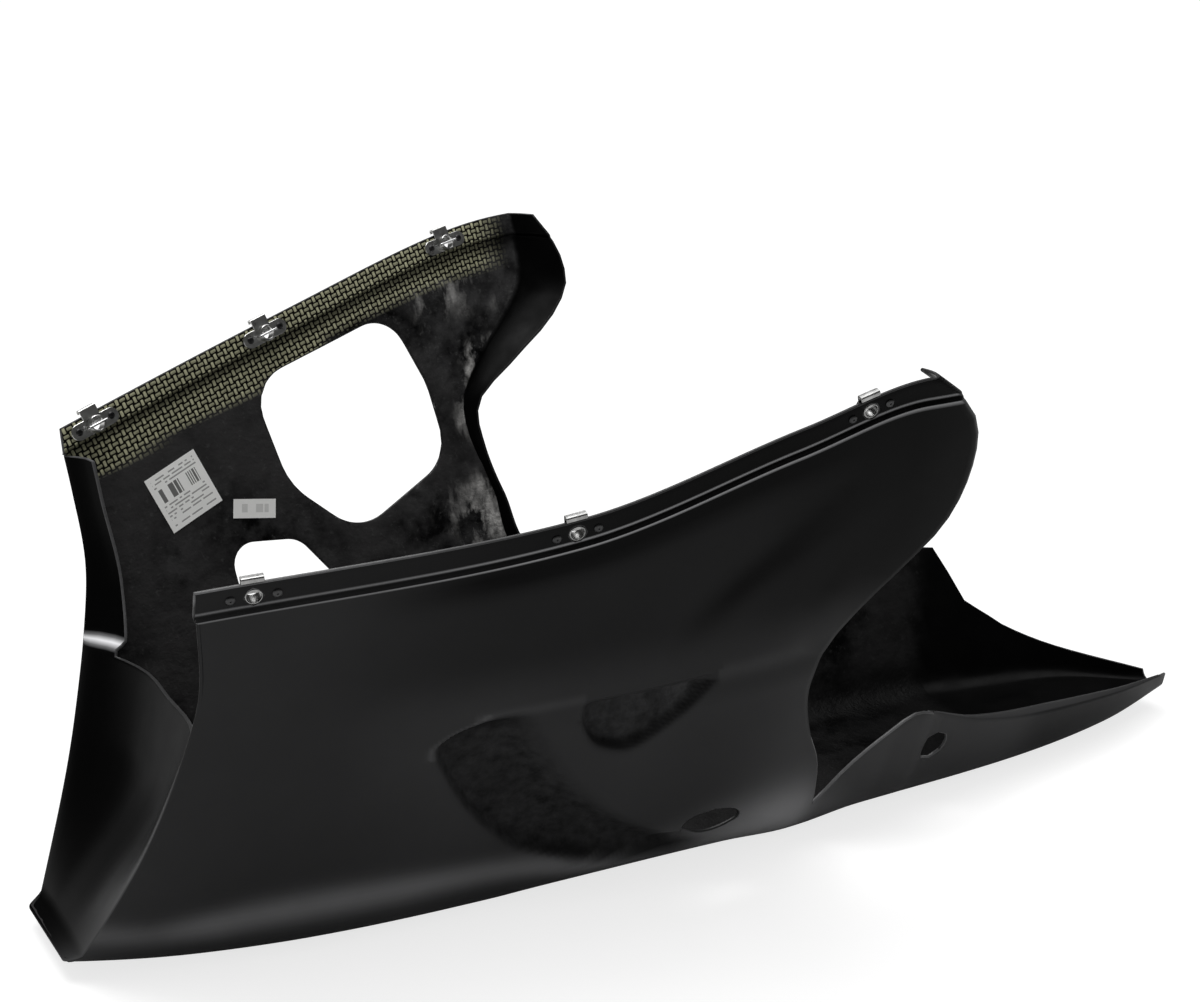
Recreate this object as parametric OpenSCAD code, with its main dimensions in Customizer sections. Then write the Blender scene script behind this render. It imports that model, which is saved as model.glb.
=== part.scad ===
/* [Shell] */
// Length of the pan from the front of the keel to the tip of the tail
pan_l = 900; // [880:1:940]
// Thickness of the moulded laminate
sheet_t = 2.4; // [2:0.1:3]
// Height of the sunk flange along the top of each wall
flange_h = 14.5; // [13:0.5:18]
// Depth by which the flange is sunk behind the outer face
joggle_d = 3; // [1.5:0.5:4]
// Half width of the keel where it is widest
keel_w = 84; // [70:1:95]
// Half width of the keel at its front end
keel_front_w = 40; // [30:1:50]
// Radius between the keel and the walls along the front half
bilge_r = 22; // [14:1:26]
// Radius between the keel and the walls under the engine cover bulge
bulge_bilge_r = 44; // [30:1:50]
// Height by which the keel rises at its front end
keel_rise = 12; // [6:1:18]
// Height by which the keel rises at the tip of the tail
tail_rise = 16; // [8:1:22]

/* [Left wall] */
// Distance from the front of the keel to the front corner of the left flange
left_front_x = 73; // [65:1:85]
// Length of the left flange along the pan
left_flange_l = 432; // [420:1:445]
// Height of the left wall at its front corner
left_front_h = 271; // [262:1:285]
// Height of the left wall at its rear ear
left_rear_h = 357; // [345:1:370]
// Offset of the left wall from the centre plane at its front corner
left_front_w = 145; // [135:1:155]
// Offset of the left wall from the centre plane at its rear ear
left_rear_w = 208; // [195:1:220]

/* [Right wall] */
// Distance from the front of the keel to the front corner of the right flange
right_front_x = 60; // [52:1:70]
// Length of the right flange along the pan
right_flange_l = 392; // [380:1:405]
// Height of the right wall at its front corner
right_front_h = 292; // [280:1:305]
// Height of the right wall at its rear ear
right_rear_h = 402; // [390:1:415]
// Offset of the right wall from the centre plane at its front corner
right_front_w = 156; // [146:1:166]
// Offset of the right wall from the centre plane at its rear ear
right_rear_w = 250; // [238:1:262]

/* [Front dam] */
// Height of the dam that closes the front between the walls
dam_h = 154; // [130:1:165]
// Depth by which the dam is scooped in behind the front edges
dam_d = 26; // [14:1:34]
// Width of the front flange that turns in above the dam
front_lip_w = 28; // [20:1:32]

/* [Left recesses] */
// Depth of the D-shaped pocket in the left wall
pocket_d = 13; // [6:1:16]
// Depth of the leaf-shaped recess in the left wall
leaf_d = 8; // [4:1:12]
// Depth by which the engine cover bulge stands out of the left wall
bulge_d = 5; // [3:1:10]

/* [Openings] */
// Width of the oval drain hole under the engine cover bulge
drain_w = 42; // [34:1:46]
// Height of the oval drain hole
drain_h = 17; // [12:1:24]
// Diameter of the hole in the left side of the tail
tail_hole_dia = 23; // [12:1:26]

/* [Fasteners] */
// Diameter of the stud bore in each receptacle
stud_dia = 8.6; // [6:0.1:9]
// Distance between the two rivets of a receptacle
rivet_pitch = 25.4; // [24:0.2:28]
// Diameter of the rivet shanks
rivet_dia = 3.2; // [2.4:0.1:3.6]
// Thickness of the receptacle sheet
plate_t = 1; // [0.8:0.1:1.2]
// Width of the tab that folds over the flange
tab_w = 12.8; // [10:0.2:16]
// Height of the tab above the edge of the flange
tab_rise = 5; // [3:0.5:7]
// Diameter of the spring wire
wire_dia = 1.6; // [1.2:0.1:2]

/* [Labels] */
// Side of the large square label
large_label_side = 42; // [30:1:46]
// Width of the small label
small_label_w = 32; // [24:1:36]
// Height of the small label
small_label_h = 13.5; // [10:0.5:18]
// Thickness of the labels
label_t = 0.3; // [0.2:0.05:0.5]

/* [Hidden] */

// Value of a smooth curve through the points p at position x
function seg(p, x, i = 0) = (i >= len(p) - 2 || x < p[i + 1][0]) ? i : seg(p, x, i + 1);
function tangent(p, i) =
    let(a = max(0, i - 1), b = min(len(p) - 1, i + 1))
    (p[b][1] - p[a][1]) / (p[b][0] - p[a][0]);
function along(p, x) =
    let(i = seg(p, x), h = p[i + 1][0] - p[i][0],
        t = max(0, min(1, (x - p[i][0]) / h)),
        a = tangent(p, i) * h, b = tangent(p, i + 1) * h)
    (2 * t ^ 3 - 3 * t ^ 2 + 1) * p[i][1] + (t ^ 3 - 2 * t ^ 2 + t) * a
    + (3 * t ^ 2 - 2 * t ^ 3) * p[i + 1][1] + (t ^ 3 - t ^ 2) * b;
function mix(a, b, t) = a + (b - a) * t;
function ease(a, b, x) = let(t = max(0, min(1, (x - a) / (b - a)))) t * t * (3 - 2 * t);

LEFT = -1;
RIGHT = 1;
left_end_x = left_front_x + left_flange_l;
right_end_x = right_front_x + right_flange_l;

// Curves along the pan, as pairs of station and value
left_w_curve = [[left_front_x, left_front_w], [300, mix(left_front_w, left_rear_w, 0.5)],
    [left_end_x, left_rear_w], [620, 200], [808, 162], [pan_l, 93]];
left_h_curve = [[left_front_x, left_front_h], [290, mix(left_front_h, left_rear_h, 0.23)],
    [420, mix(left_front_h, left_rear_h, 0.72)], [left_end_x, left_rear_h], [pan_l, left_rear_h]];
right_w_curve = [[right_front_x, right_front_w], [250, mix(right_front_w, right_rear_w, 0.53)],
    [right_end_x, right_rear_w], [789, 246], [850, 219], [pan_l, 140]];
right_h_curve = [[right_front_x, right_front_h], [220, mix(right_front_h, right_rear_h, 0.48)],
    [370, mix(right_front_h, right_rear_h, 0.9)], [right_end_x, right_rear_h],
    [pan_l, right_rear_h]];
left_keel_curve = [[0, keel_front_w], [80, 0.73 * keel_w], [160, 0.89 * keel_w], [280, 0.97 * keel_w],
    [350, 1.12 * keel_w], [440, 1.13 * keel_w], [510, 0.96 * keel_w], [670, 0.81 * keel_w],
    [820, 0.6 * keel_w], [pan_l, 30]];
right_keel_curve = [[0, keel_front_w], [80, 0.75 * keel_w], [160, 0.93 * keel_w], [290, keel_w],
    [500, keel_w], [720, keel_w], [770, 0.86 * keel_w], [850, 0.5 * keel_w], [pan_l, -12]];
bilge_curve = [[0, 6], [120, bilge_r], [270, bilge_r], [350, bulge_bilge_r],
    [440, bulge_bilge_r], [500, 18], [560, bilge_r], [800, 12], [pan_l, 6]];

function wall_w(side, x) = along(side == LEFT ? left_w_curve : right_w_curve, x);
function wall_h(side, x) = along(side == LEFT ? left_h_curve : right_h_curve, x);
function keel_y(side, x) = along(side == LEFT ? left_keel_curve : right_keel_curve, x);
// The underside of the keel is flat between these two stations and rises beyond them
keel_flat_from = 150;
keel_flat_to = 680;
function keel_z(x) =
    keel_rise * max(0, 1 - x / keel_flat_from) ^ 2
    + tail_rise * max(0, (x - keel_flat_to) / (pan_l - keel_flat_to)) ^ 2;
function bilge(side, x) = side == LEFT ? along(bilge_curve, x) : min(bilge_r, along(bilge_curve, x));

// Offset of the outer face from the centre plane at station x and height z
wall_bow = 0.92;
function flat_y(side, x, z) =
    let(s = max(0, z - keel_z(x)) / wall_h(side, x), k = keel_y(side, x))
    k + (wall_w(side, x) - k) * s ^ wall_bow;
function face_y(side, x, z) =
    let(r = bilge(side, x), q = max(0, min(1, 1 - (z - keel_z(x)) / r)))
    flat_y(side, x, z) - r * (1 - sqrt(1 - q * q));

// The pocket, the leaf and the bulge are pressed into the left wall below one styling line
style_curve = [[236, 160], [304, 163], [397, 170], [464, 176], [560, 188]];
pocket_front_curve = [[38, 300], [48, 276], [60, 262], [91, 236], [120, 219], [142, 211],
    [152, 222], [161, 244]];
pocket_low_curve = [[250, 52], [285, 44], [349, 28], [400, 24]];
boss_front_curve = [[35, 400], [49, 365], [73, 328], [107, 294], [144, 270], [163, 262]];
leaf_low_curve = [[302, 152], [312, 133], [325, 125], [340, 124], [365, 140], [396, 167]];
pocket_edge = 22;
boss_ramp = 34;
leaf_edge = 17;
bulge_from_x = 250;
bulge_full_x = 340;
bulge_edge = 24;
function pocket(x, z) =
    let(front = along(pocket_front_curve, z), low = along(pocket_low_curve, x),
        top = along(style_curve, x), boss = along(boss_front_curve, z))
    ease(front, front + pocket_edge, x) * (1 - ease(boss - boss_ramp / 2, boss + boss_ramp / 2, x))
    * ease(low, low + pocket_edge, z) * (1 - ease(top - pocket_edge, top, z));
function leaf(x, z) =
    let(low = along(leaf_low_curve, x), top = along(style_curve, x), a = leaf_low_curve[0][0],
        b = leaf_low_curve[5][0])
    ease(a, a + leaf_edge, x) * (1 - ease(b - leaf_edge, b, x))
    * ease(low, low + leaf_edge, z) * (1 - ease(top - leaf_edge, top, z));
function bulge(x, z) =
    let(top = along(style_curve, x))
    ease(bulge_from_x, bulge_full_x, x) * (1 - ease(top - bulge_edge, top, z))
    * ease(0, bulge_bilge_r, z);
function dent(x, z) =
    x < 200 || x > 600 || z > 200 ? 0
    : pocket_d * pocket(x, z) + leaf_d * leaf(x, z) - bulge_d * bulge(x, z);

// Front and rear edges of the walls as curves of height
notch_x = 505;
left_notch_z = 30;
right_notch_z = 122;
prow_curve = [[0, 0], [47, 22], [85, 38], [120, 50], [163, 62], [205, 70], [250, 68], [310, 62]];
left_rear_curve = [[left_notch_z, notch_x], [72, 495], [107, 477], [141, 466], [165, 469],
    [191, 490], [222, left_end_x + 16], [249, left_end_x + 40], [282, left_end_x + 48],
    [318, left_end_x + 41], [342, left_end_x + 19], [left_rear_h, left_end_x]];
right_ear_x = right_end_x - 18;
right_rear_curve = [[right_notch_z, notch_x], [138, 432], [160, right_ear_x - 40],
    [205, right_ear_x - 50], [249, right_ear_x - 63], [279, right_ear_x - 63],
    [307, right_ear_x - 42], [330, right_ear_x - 18], [353, right_ear_x - 1],
    [right_rear_h, right_ear_x]];
left_rim_curve = [[notch_x, left_notch_z], [528, 58], [560, 82], [578, 91], [602, 84], [646, 66],
    [700, 53], [760, 46], [820, 40], [pan_l, 30]];
right_rim_curve = [[notch_x, right_notch_z], [620, 112], [700, 108], [770, 112], [786, 106],
    [800, 70], [825, 46], [855, 33], [pan_l, 25]];
front_setback = 3;

function front_x(side, z) = along(prow_curve, z) - side * front_setback;
function rear_x(side, z) = along(side == LEFT ? left_rear_curve : right_rear_curve, z);
function notch_z(side) = side == LEFT ? left_notch_z : right_notch_z;
function rim_z(side, x) = along(side == LEFT ? left_rim_curve : right_rim_curve, x);

// Rows run up each wall from the edge of the keel, columns run along the pan
BILGE_ROWS = 3;
DAM_ROW = 13;
LINE_ROW = 22;
STEP_ROW = 23;
TOP_ROW = 24;
KEEL_COLS = 8;
function water_row(side) = side == LEFT ? 7 : 13;
FORE_COLS = 6;
MID_COLS = 26;
AFT_COLS = 3;
WALL_COLS = FORE_COLS + MID_COLS + AFT_COLS;
TAIL_COLS = 18;
COLS = WALL_COLS + TAIL_COLS;
GIRTH = 2 * TOP_ROW + KEEL_COLS;
fore_share = 0.32;
mid_share = 0.6;

function share(i) =
    i < FORE_COLS ? fore_share * i / FORE_COLS
    : i < FORE_COLS + MID_COLS ? fore_share + mid_share * (i - FORE_COLS) / MID_COLS
    : mix(fore_share + mid_share, 1, (i - FORE_COLS - MID_COLS) / AFT_COLS);

function line_z(side, x) = wall_h(side, x) - flange_h - joggle_d;
function front_line_z(side) = line_z(side, side == LEFT ? left_front_x : right_front_x);
function rear_line_z(side) = line_z(side, side == LEFT ? left_end_x : right_end_x);
front_bilge_z = 20;
dense_row = 17;
dense_z = 170;

// Height of a row at the front edge and at the rear edge of a wall
function front_row_z(side, j) =
    j <= DAM_ROW ? mix(front_bilge_z, dam_h, (j - BILGE_ROWS) / (DAM_ROW - BILGE_ROWS))
    : mix(dam_h, front_line_z(side), (j - DAM_ROW) / (LINE_ROW - DAM_ROW));
function rear_row_z(side, j) =
    side == RIGHT ? mix(right_notch_z, rear_line_z(side), (j - DAM_ROW) / (LINE_ROW - DAM_ROW))
    : j <= dense_row ? mix(left_notch_z, dense_z, (j - water_row(side)) / (dense_row - water_row(side)))
    : mix(dense_z, rear_line_z(side), (j - dense_row) / (LINE_ROW - dense_row));
function water_z(side, s) =
    mix(front_row_z(side, water_row(side)), notch_z(side), side == LEFT ? s ^ 4 : s);
function rise(z, low, high) = (z - low) / (high - low);
// Share of the way up from the water line to the sunk flange, for a row at share s of the wall
function lift(side, s, j) =
    mix(rise(front_row_z(side, j), front_row_z(side, water_row(side)), front_line_z(side)),
        rise(rear_row_z(side, j), notch_z(side), rear_line_z(side)), s);
// One row of the left wall is drawn onto the styling line, and the rows around it follow
STYLE_ROW = 15;
style_from_x = 200;
style_full_x = 236;
style_end_s = 0.97;
style_fade_s = 0.85;
function style_pull(side, s, x, j, low) =
    side == RIGHT || x < style_from_x ? 0
    : (along(style_curve, x) - mix(low, line_z(side, x), lift(side, s, STYLE_ROW)))
        * ease(style_from_x, style_full_x, x) * (1 - ease(style_fade_s, style_end_s, s))
        * (j < STYLE_ROW ? ease(water_row(side), STYLE_ROW, j) : 1 - ease(STYLE_ROW, LINE_ROW, j));

// A point of the outer face from its side, row and column
function wall_pt(side, i, j) =
    let(s = share(i), k = min(j, LINE_ROW), w = water_row(side), aft = i > WALL_COLS,
        zf = front_row_z(side, max(1, k)), zr = rear_row_z(side, k),
        x0 = front_x(side, zf),
        x1 = k <= w ? notch_x
            : j == TOP_ROW ? rear_x(side, rear_line_z(side) + flange_h + joggle_d)
            : rear_x(side, zr),
        x = aft ? mix(notch_x, pan_l, (i - WALL_COLS) / TAIL_COLS) : mix(x0, x1, s),
        kz = keel_z(x), r = bilge(side, x),
        top = aft ? rim_z(side, x) : water_z(side, s),
        z = j <= BILGE_ROWS ? kz + r * (1 - cos(90 * j / BILGE_ROWS))
            : j <= w ? mix(kz + r, top, (j - BILGE_ROWS) / (w - BILGE_ROWS))
            : j <= LINE_ROW ? mix(top, line_z(side, x), lift(side, s, j)) + style_pull(side, s, x, j, top)
            : j == STEP_ROW ? line_z(side, x) + joggle_d
            : wall_h(side, x),
        d = j > LINE_ROW ? joggle_d : 0)
    [x, side * (face_y(side, x, z) - d), z];

function girth_pt(i, g) =
    g <= TOP_ROW ? wall_pt(LEFT, i, TOP_ROW - g)
    : g >= TOP_ROW + KEEL_COLS ? wall_pt(RIGHT, i, g - TOP_ROW - KEEL_COLS)
    : let(t = (g - TOP_ROW) / KEEL_COLS)
        wall_pt(LEFT, i, 0) * (1 - t) + wall_pt(RIGHT, i, 0) * t;

low_g = TOP_ROW - water_row(LEFT);
high_g = TOP_ROW + KEEL_COLS + water_row(RIGHT);
function held(i, g) = i <= WALL_COLS || (g >= low_g && g <= high_g);
function unit(v) = v / norm(v);

hull = [for (i = [0:COLS]) [for (g = [0:GIRTH])
    girth_pt(i, i <= WALL_COLS ? g : max(low_g, min(high_g, g)))]];
function hull_normal(i, g) =
    let(ia = max(0, i - 1), ib = held(min(COLS, i + 1), g) ? min(COLS, i + 1) : i,
        ga = g > 0 && held(i, g - 1) ? g - 1 : g, gb = g < GIRTH && held(i, g + 1) ? g + 1 : g)
    unit(cross(hull[i][gb] - hull[i][ga], hull[ib][g] - hull[ia][g]));
// The inner face lies one sheet thickness inside, and is mitred along the front edge
function mitre(i, g) =
    let(d = hull[1][g] - hull[0][g])
    i == 0 ? d / d[0] : [0, 0, 0];
hull_inner = [for (i = [0:COLS]) [for (g = [0:GIRTH])
    held(i, g) ? hull[i][g] - sheet_t * (hull_normal(i, g) - mitre(i, g)) : hull[i][g]]];
// The recesses press both faces of the left wall in by the same depth
dents = [for (i = [0:COLS]) [for (g = [0:GIRTH])
    g < TOP_ROW ? [0, dent(hull[i][g][0], hull[i][g][2]), 0] : [0, 0, 0]]];

// The dam and the turned-in front flanges, between the front edges of the walls
lip_turn = [0, 0.15, 0.6, 1, 1, 1, 0.6, 0.15, 0];
LIP_COLS = 2;
function dam_pt(c, j) =
    let(a = hull[0][TOP_ROW - j], b = hull[0][TOP_ROW + KEEL_COLS + j],
        z = mix(a[2], b[2], c / KEEL_COLS), w = b[1] - a[1],
        up = ease(dam_h, front_line_z(LEFT), z),
        lip = min(front_lip_w * (1 - 0.3 * up), 0.2 * w),
        e = min(c, KEEL_COLS - c),
        in = e == 0 ? 0 : e == 1 ? 0.35 * lip : e == 2 ? lip : e == 3 ? mix(lip, w / 2, 0.45) : w / 2,
        t = c <= KEEL_COLS / 2 ? in / w : 1 - in / w,
        d = dam_d * ease(keel_rise, 0.7 * dam_h, z) * (1 - 0.45 * up) * lip_turn[c])
    [mix(a[0], b[0], t) + d, mix(a[1], b[1], t), mix(a[2], b[2], t)];
dam = [for (j = [0:LINE_ROW]) [for (c = [0:KEEL_COLS])
    j == 0 ? hull[0][TOP_ROW + c] : dam_pt(c, j)]];
function dam_held(c, j) = j <= DAM_ROW || c <= LIP_COLS || c >= KEEL_COLS - LIP_COLS;
function dam_normal(c, j) =
    let(ca = dam_held(c - 1, j) ? c - 1 : c, cb = dam_held(c + 1, j) ? c + 1 : c,
        ja = j - 1, jb = j < LINE_ROW && dam_held(c, j + 1) ? j + 1 : j)
    unit(cross(dam[j][cb] - dam[j][ca], dam[jb][c] - dam[ja][c]));
dam_inner = [for (j = [0:LINE_ROW]) [for (c = [0:KEEL_COLS])
    j == 0 || c == 0 || c == KEEL_COLS || !dam_held(c, j) ? dam[j][c]
    : dam[j][c] + sheet_t * dam_normal(c, j)]];

// Return flange folded in along the rear edge of each ear
EAR_COLS = 3;
left_ear_turn = 68;
right_ear_turn = 35;
left_ear_curve = [[100, 5], [170, 7], [220, 14], [300, 26], [left_rear_h, 30]];
right_ear_curve = [[120, 20], [205, 9], [240, 11], [270, 14], [300, 30], [330, 40], [375, 36],
    [right_rear_h, 20]];
function ear_row(side) = side == LEFT ? 12 : 14;
function ear_pt(side, k, j) =
    let(p = wall_pt(side, WALL_COLS, j), z = p[2],
        w = along(side == LEFT ? left_ear_curve : right_ear_curve, z),
        a = side == LEFT ? left_ear_turn : right_ear_turn,
        t = k / EAR_COLS)
    p + w * [t * cos(a * (0.4 + 0.6 * t)), -side * t * sin(a * (0.4 + 0.6 * t)), 0];

// Numbers of the points in the one list that the shell's faces use
HULL_POINTS = (COLS + 1) * (GIRTH + 1);
DAM_POINTS = (LINE_ROW + 1) * (KEEL_COLS + 1);
EAR_POINTS = (TOP_ROW + 1) * (EAR_COLS + 1);
DAM_START = 2 * HULL_POINTS;
EAR_START = DAM_START + 2 * DAM_POINTS;
function hull_id(i, g, inner) = inner * HULL_POINTS + i * (GIRTH + 1) + g;
function row_g(side, j) = side == LEFT ? TOP_ROW - j : TOP_ROW + KEEL_COLS + j;
function dam_id(c, j, inner) =
    c == 0 ? hull_id(0, row_g(LEFT, j), inner)
    : c == KEEL_COLS ? hull_id(0, row_g(RIGHT, j), inner)
    : j == 0 ? hull_id(0, TOP_ROW + c, inner)
    : DAM_START + inner * DAM_POINTS + j * (KEEL_COLS + 1) + c;
function ear_id(side, k, j, inner) =
    k == 0 ? hull_id(WALL_COLS, row_g(side, j), inner)
    : EAR_START + ((side + 1) + inner) * EAR_POINTS + j * (EAR_COLS + 1) + k;

left_ear = [for (j = [0:TOP_ROW]) [for (k = [0:EAR_COLS]) ear_pt(LEFT, k, j)]];
right_ear = [for (j = [0:TOP_ROW]) [for (k = [0:EAR_COLS]) ear_pt(RIGHT, k, j)]];
function ear_normal(side, k, j) =
    let(e = side == LEFT ? left_ear : right_ear, ja = max(ear_row(side), j - 1),
        jb = min(TOP_ROW, j + 1), ka = max(0, k - 1), kb = min(EAR_COLS, k + 1))
    side * unit(cross(e[jb][k] - e[ja][k], e[j][kb] - e[j][ka]));
function ear_inner(side) =
    let(e = side == LEFT ? left_ear : right_ear)
    [for (j = [0:TOP_ROW]) for (k = [0:EAR_COLS])
        j < ear_row(side) ? e[j][k] : e[j][k] - sheet_t * ear_normal(side, k, j)];
function flat(list) = [for (row = list) each row];

shell_points = concat(flat(hull + dents), flat(hull_inner + dents), flat(dam), flat(dam_inner),
    flat(left_ear), ear_inner(LEFT), flat(right_ear), ear_inner(RIGHT));

// Two triangles for each cell of four points, turned over for a cell of the inner face
function cell(p) = [[p[0], p[1], p[2]], [p[0], p[2], p[3]]];
function back_cell(p) = [[p[0], p[2], p[1]], [p[0], p[3], p[2]]];
function skin_cell(p, inner) = inner == 0 ? cell(p) : back_cell(p);
function hull_cells(inner) =
    [for (i = [0:COLS - 1]) for (g = [0:GIRTH - 1])
        if (i < WALL_COLS || (g >= low_g && g < high_g))
            skin_cell([hull_id(i, g, inner), hull_id(i + 1, g, inner),
                hull_id(i + 1, g + 1, inner), hull_id(i, g + 1, inner)], inner)];
function dam_cells(inner) =
    [for (j = [0:LINE_ROW - 1]) for (c = [0:KEEL_COLS - 1])
        if (j < DAM_ROW || c < LIP_COLS || c >= KEEL_COLS - LIP_COLS)
            skin_cell([dam_id(c, j, inner), dam_id(c + 1, j, inner),
                dam_id(c + 1, j + 1, inner), dam_id(c, j + 1, inner)], inner)];
function ear_cells(side, inner) =
    [for (j = [ear_row(side):TOP_ROW - 1]) for (k = [0:EAR_COLS - 1])
        let(ja = side == RIGHT ? j : j + 1, jb = side == RIGHT ? j + 1 : j)
        skin_cell([ear_id(side, k, ja, inner), ear_id(side, k + 1, ja, inner),
            ear_id(side, k + 1, jb, inner), ear_id(side, k, jb, inner)], inner)];

// A narrow strip closes each free edge from the outer to the inner face
function hull_edge(i, g, i2, g2) =
    cell([hull_id(i2, g2, 0), hull_id(i, g, 0), hull_id(i, g, 1), hull_id(i2, g2, 1)]);
function dam_edge(c, j, c2, j2) =
    cell([dam_id(c2, j2, 0), dam_id(c, j, 0), dam_id(c, j, 1), dam_id(c2, j2, 1)]);
function ear_edge(side, k, j, k2, j2) =
    cell([ear_id(side, k2, j2, 0), ear_id(side, k, j, 0), ear_id(side, k, j, 1),
        ear_id(side, k2, j2, 1)]);
wall_edges = concat(
    [for (i = [0:WALL_COLS - 1]) hull_edge(i, 0, i + 1, 0)],
    [for (i = [0:WALL_COLS - 1]) hull_edge(i + 1, GIRTH, i, GIRTH)],
    [for (g = [0:GIRTH - 1]) if (g < TOP_ROW - LINE_ROW || g >= GIRTH - TOP_ROW + LINE_ROW)
        hull_edge(0, g + 1, 0, g)],
    [for (g = [TOP_ROW - ear_row(LEFT):low_g - 1]) hull_edge(WALL_COLS, g, WALL_COLS, g + 1)],
    [for (g = [high_g:row_g(RIGHT, ear_row(RIGHT)) - 1]) hull_edge(WALL_COLS, g, WALL_COLS, g + 1)]);
tail_edges = concat(
    [for (i = [WALL_COLS:COLS - 1]) hull_edge(i, low_g, i + 1, low_g)],
    [for (i = [WALL_COLS:COLS - 1]) hull_edge(i + 1, high_g, i, high_g)],
    [for (g = [low_g:high_g - 1]) hull_edge(COLS, g, COLS, g + 1)]);
dam_edges = concat(
    [for (c = [LIP_COLS:KEEL_COLS - LIP_COLS - 1]) dam_edge(c + 1, DAM_ROW, c, DAM_ROW)],
    [for (j = [DAM_ROW:LINE_ROW - 1]) dam_edge(LIP_COLS, j, LIP_COLS, j + 1)],
    [for (j = [DAM_ROW:LINE_ROW - 1])
        dam_edge(KEEL_COLS - LIP_COLS, j + 1, KEEL_COLS - LIP_COLS, j)],
    [for (c = [0:KEEL_COLS - 1]) if (c < LIP_COLS || c >= KEEL_COLS - LIP_COLS)
        dam_edge(c + 1, LINE_ROW, c, LINE_ROW)]);
left_ear_edges = concat(
    [for (j = [ear_row(LEFT):TOP_ROW - 1]) ear_edge(LEFT, EAR_COLS, j + 1, EAR_COLS, j)],
    [for (k = [0:EAR_COLS - 1]) ear_edge(LEFT, k, TOP_ROW, k + 1, TOP_ROW)],
    [for (k = [0:EAR_COLS - 1]) ear_edge(LEFT, k + 1, ear_row(LEFT), k, ear_row(LEFT))]);
right_ear_edges = concat(
    [for (j = [ear_row(RIGHT):TOP_ROW - 1]) ear_edge(RIGHT, EAR_COLS, j, EAR_COLS, j + 1)],
    [for (k = [0:EAR_COLS - 1]) ear_edge(RIGHT, k + 1, TOP_ROW, k, TOP_ROW)],
    [for (k = [0:EAR_COLS - 1]) ear_edge(RIGHT, k, ear_row(RIGHT), k + 1, ear_row(RIGHT))]);
shell_faces = flat(concat(hull_cells(0), hull_cells(1), dam_cells(0), dam_cells(1),
    ear_cells(LEFT, 0), ear_cells(LEFT, 1), ear_cells(RIGHT, 0), ear_cells(RIGHT, 1),
    wall_edges, tail_edges, dam_edges, left_ear_edges, right_ear_edges));

// The origin lies on the centre plane, in the middle of the flat underside of the keel
origin_x = (keel_flat_from + keel_flat_to) / 2;
module in_place() translate([-origin_x, 0, 0]) children();

module moulding() polyhedron(points = shell_points, faces = shell_faces, convexity = 12);

// Frame of a fastener on the sunk flange: origin on the outer face, then the directions
// along the flange, out of the flange and up
stud_drop = 8;
left_stud_x = [29, 0.49 * left_flange_l, left_flange_l - 41];
right_stud_x = [26, 0.4 * right_flange_l, right_flange_l - 79];
probe = 12;
function flange_pt(side, x, drop) =
    let(z = wall_h(side, x) - drop) [x, side * (face_y(side, x, z) - joggle_d), z];
function stud_frame(side, n) =
    let(x = side == LEFT ? left_front_x + left_stud_x[n] : right_front_x + right_stud_x[n],
        p = flange_pt(side, x, stud_drop),
        along_dir = unit(flange_pt(side, x + probe, stud_drop)
            - flange_pt(side, x - probe, stud_drop)),
        up = flange_pt(side, x, 0) - flange_pt(side, x, flange_h),
        out = unit(side == LEFT ? cross(along_dir, up) : cross(up, along_dir)))
    [p, along_dir, out, side == LEFT ? cross(out, along_dir) : cross(along_dir, out)];
module at_stud(side, n) {
    f = stud_frame(side, n);
    r = f[1];
    o = f[2] * (side == LEFT ? -1 : 1);
    u = f[3];
    multmatrix([[r[0], o[0], u[0], f[0][0]], [r[1], o[1], u[1], f[0][1]],
        [r[2], o[2], u[2], f[0][2]], [0, 0, 0, 1]])
        mirror([0, side == LEFT ? 1 : 0, 0]) children();
}

// Openings cut through the moulding
function round_poly(p, steps) =
    [for (i = [0:len(p) - 1])
        let(a = p[(i + len(p) - 1) % len(p)], b = p[i], c = p[(i + 1) % len(p)],
            u = unit([a[0] - b[0], a[1] - b[1]]), v = unit([c[0] - b[0], c[1] - b[1]]),
            half = acos(u * v) / 2, mid = unit(u + v),
            centre = [b[0], b[1]] + mid * b[2] / sin(half),
            first = [b[0], b[1]] + u * b[2] / tan(half) - centre,
            last = [b[0], b[1]] + v * b[2] / tan(half) - centre,
            a0 = atan2(first[1], first[0]), turn = atan2(last[1], last[0]) - a0,
            sweep = turn > 180 ? turn - 360 : turn < -180 ? turn + 360 : turn)
        for (k = [0:steps])
            centre + b[2] * [cos(a0 + sweep * k / steps), sin(a0 + sweep * k / steps)]];
// Corners of the two windows in the right wall, as station, height and corner radius
upper_window = [[203, 302, 28], [316, 338, 26], [350, 236, 26], [271, 190, 14], [224, 232, 50]];
lower_window = [[166, 200, 14], [226, 194, 20], [262, 150, 20], [230, 120, 20], [176, 132, 24]];
window_reach = 300;
module window(corners)
    rotate([90, 0, 0]) translate([0, 0, -window_reach])
        linear_extrude(height = window_reach - keel_w) polygon(round_poly(corners, 6));

function out_normal(side, x, z) =
    let(a = [2, side * (face_y(side, x + 1, z) - face_y(side, x - 1, z)), 0],
        b = [0, side * (face_y(side, x, z + 1) - face_y(side, x, z - 1)), 2])
    side * unit(cross(b, a));
cut_l = 24;
module cut_at(side, x, z) {
    n = out_normal(side, x, z);
    translate([x, side * face_y(side, x, z), z])
        rotate([0, acos(n[2]), atan2(n[1], n[0])]) children();
}
drain_x = 410;
drain_z = 50;
drain_step = 7.5;
tail_hole_x = 612;
tail_hole_z = 51;

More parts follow.
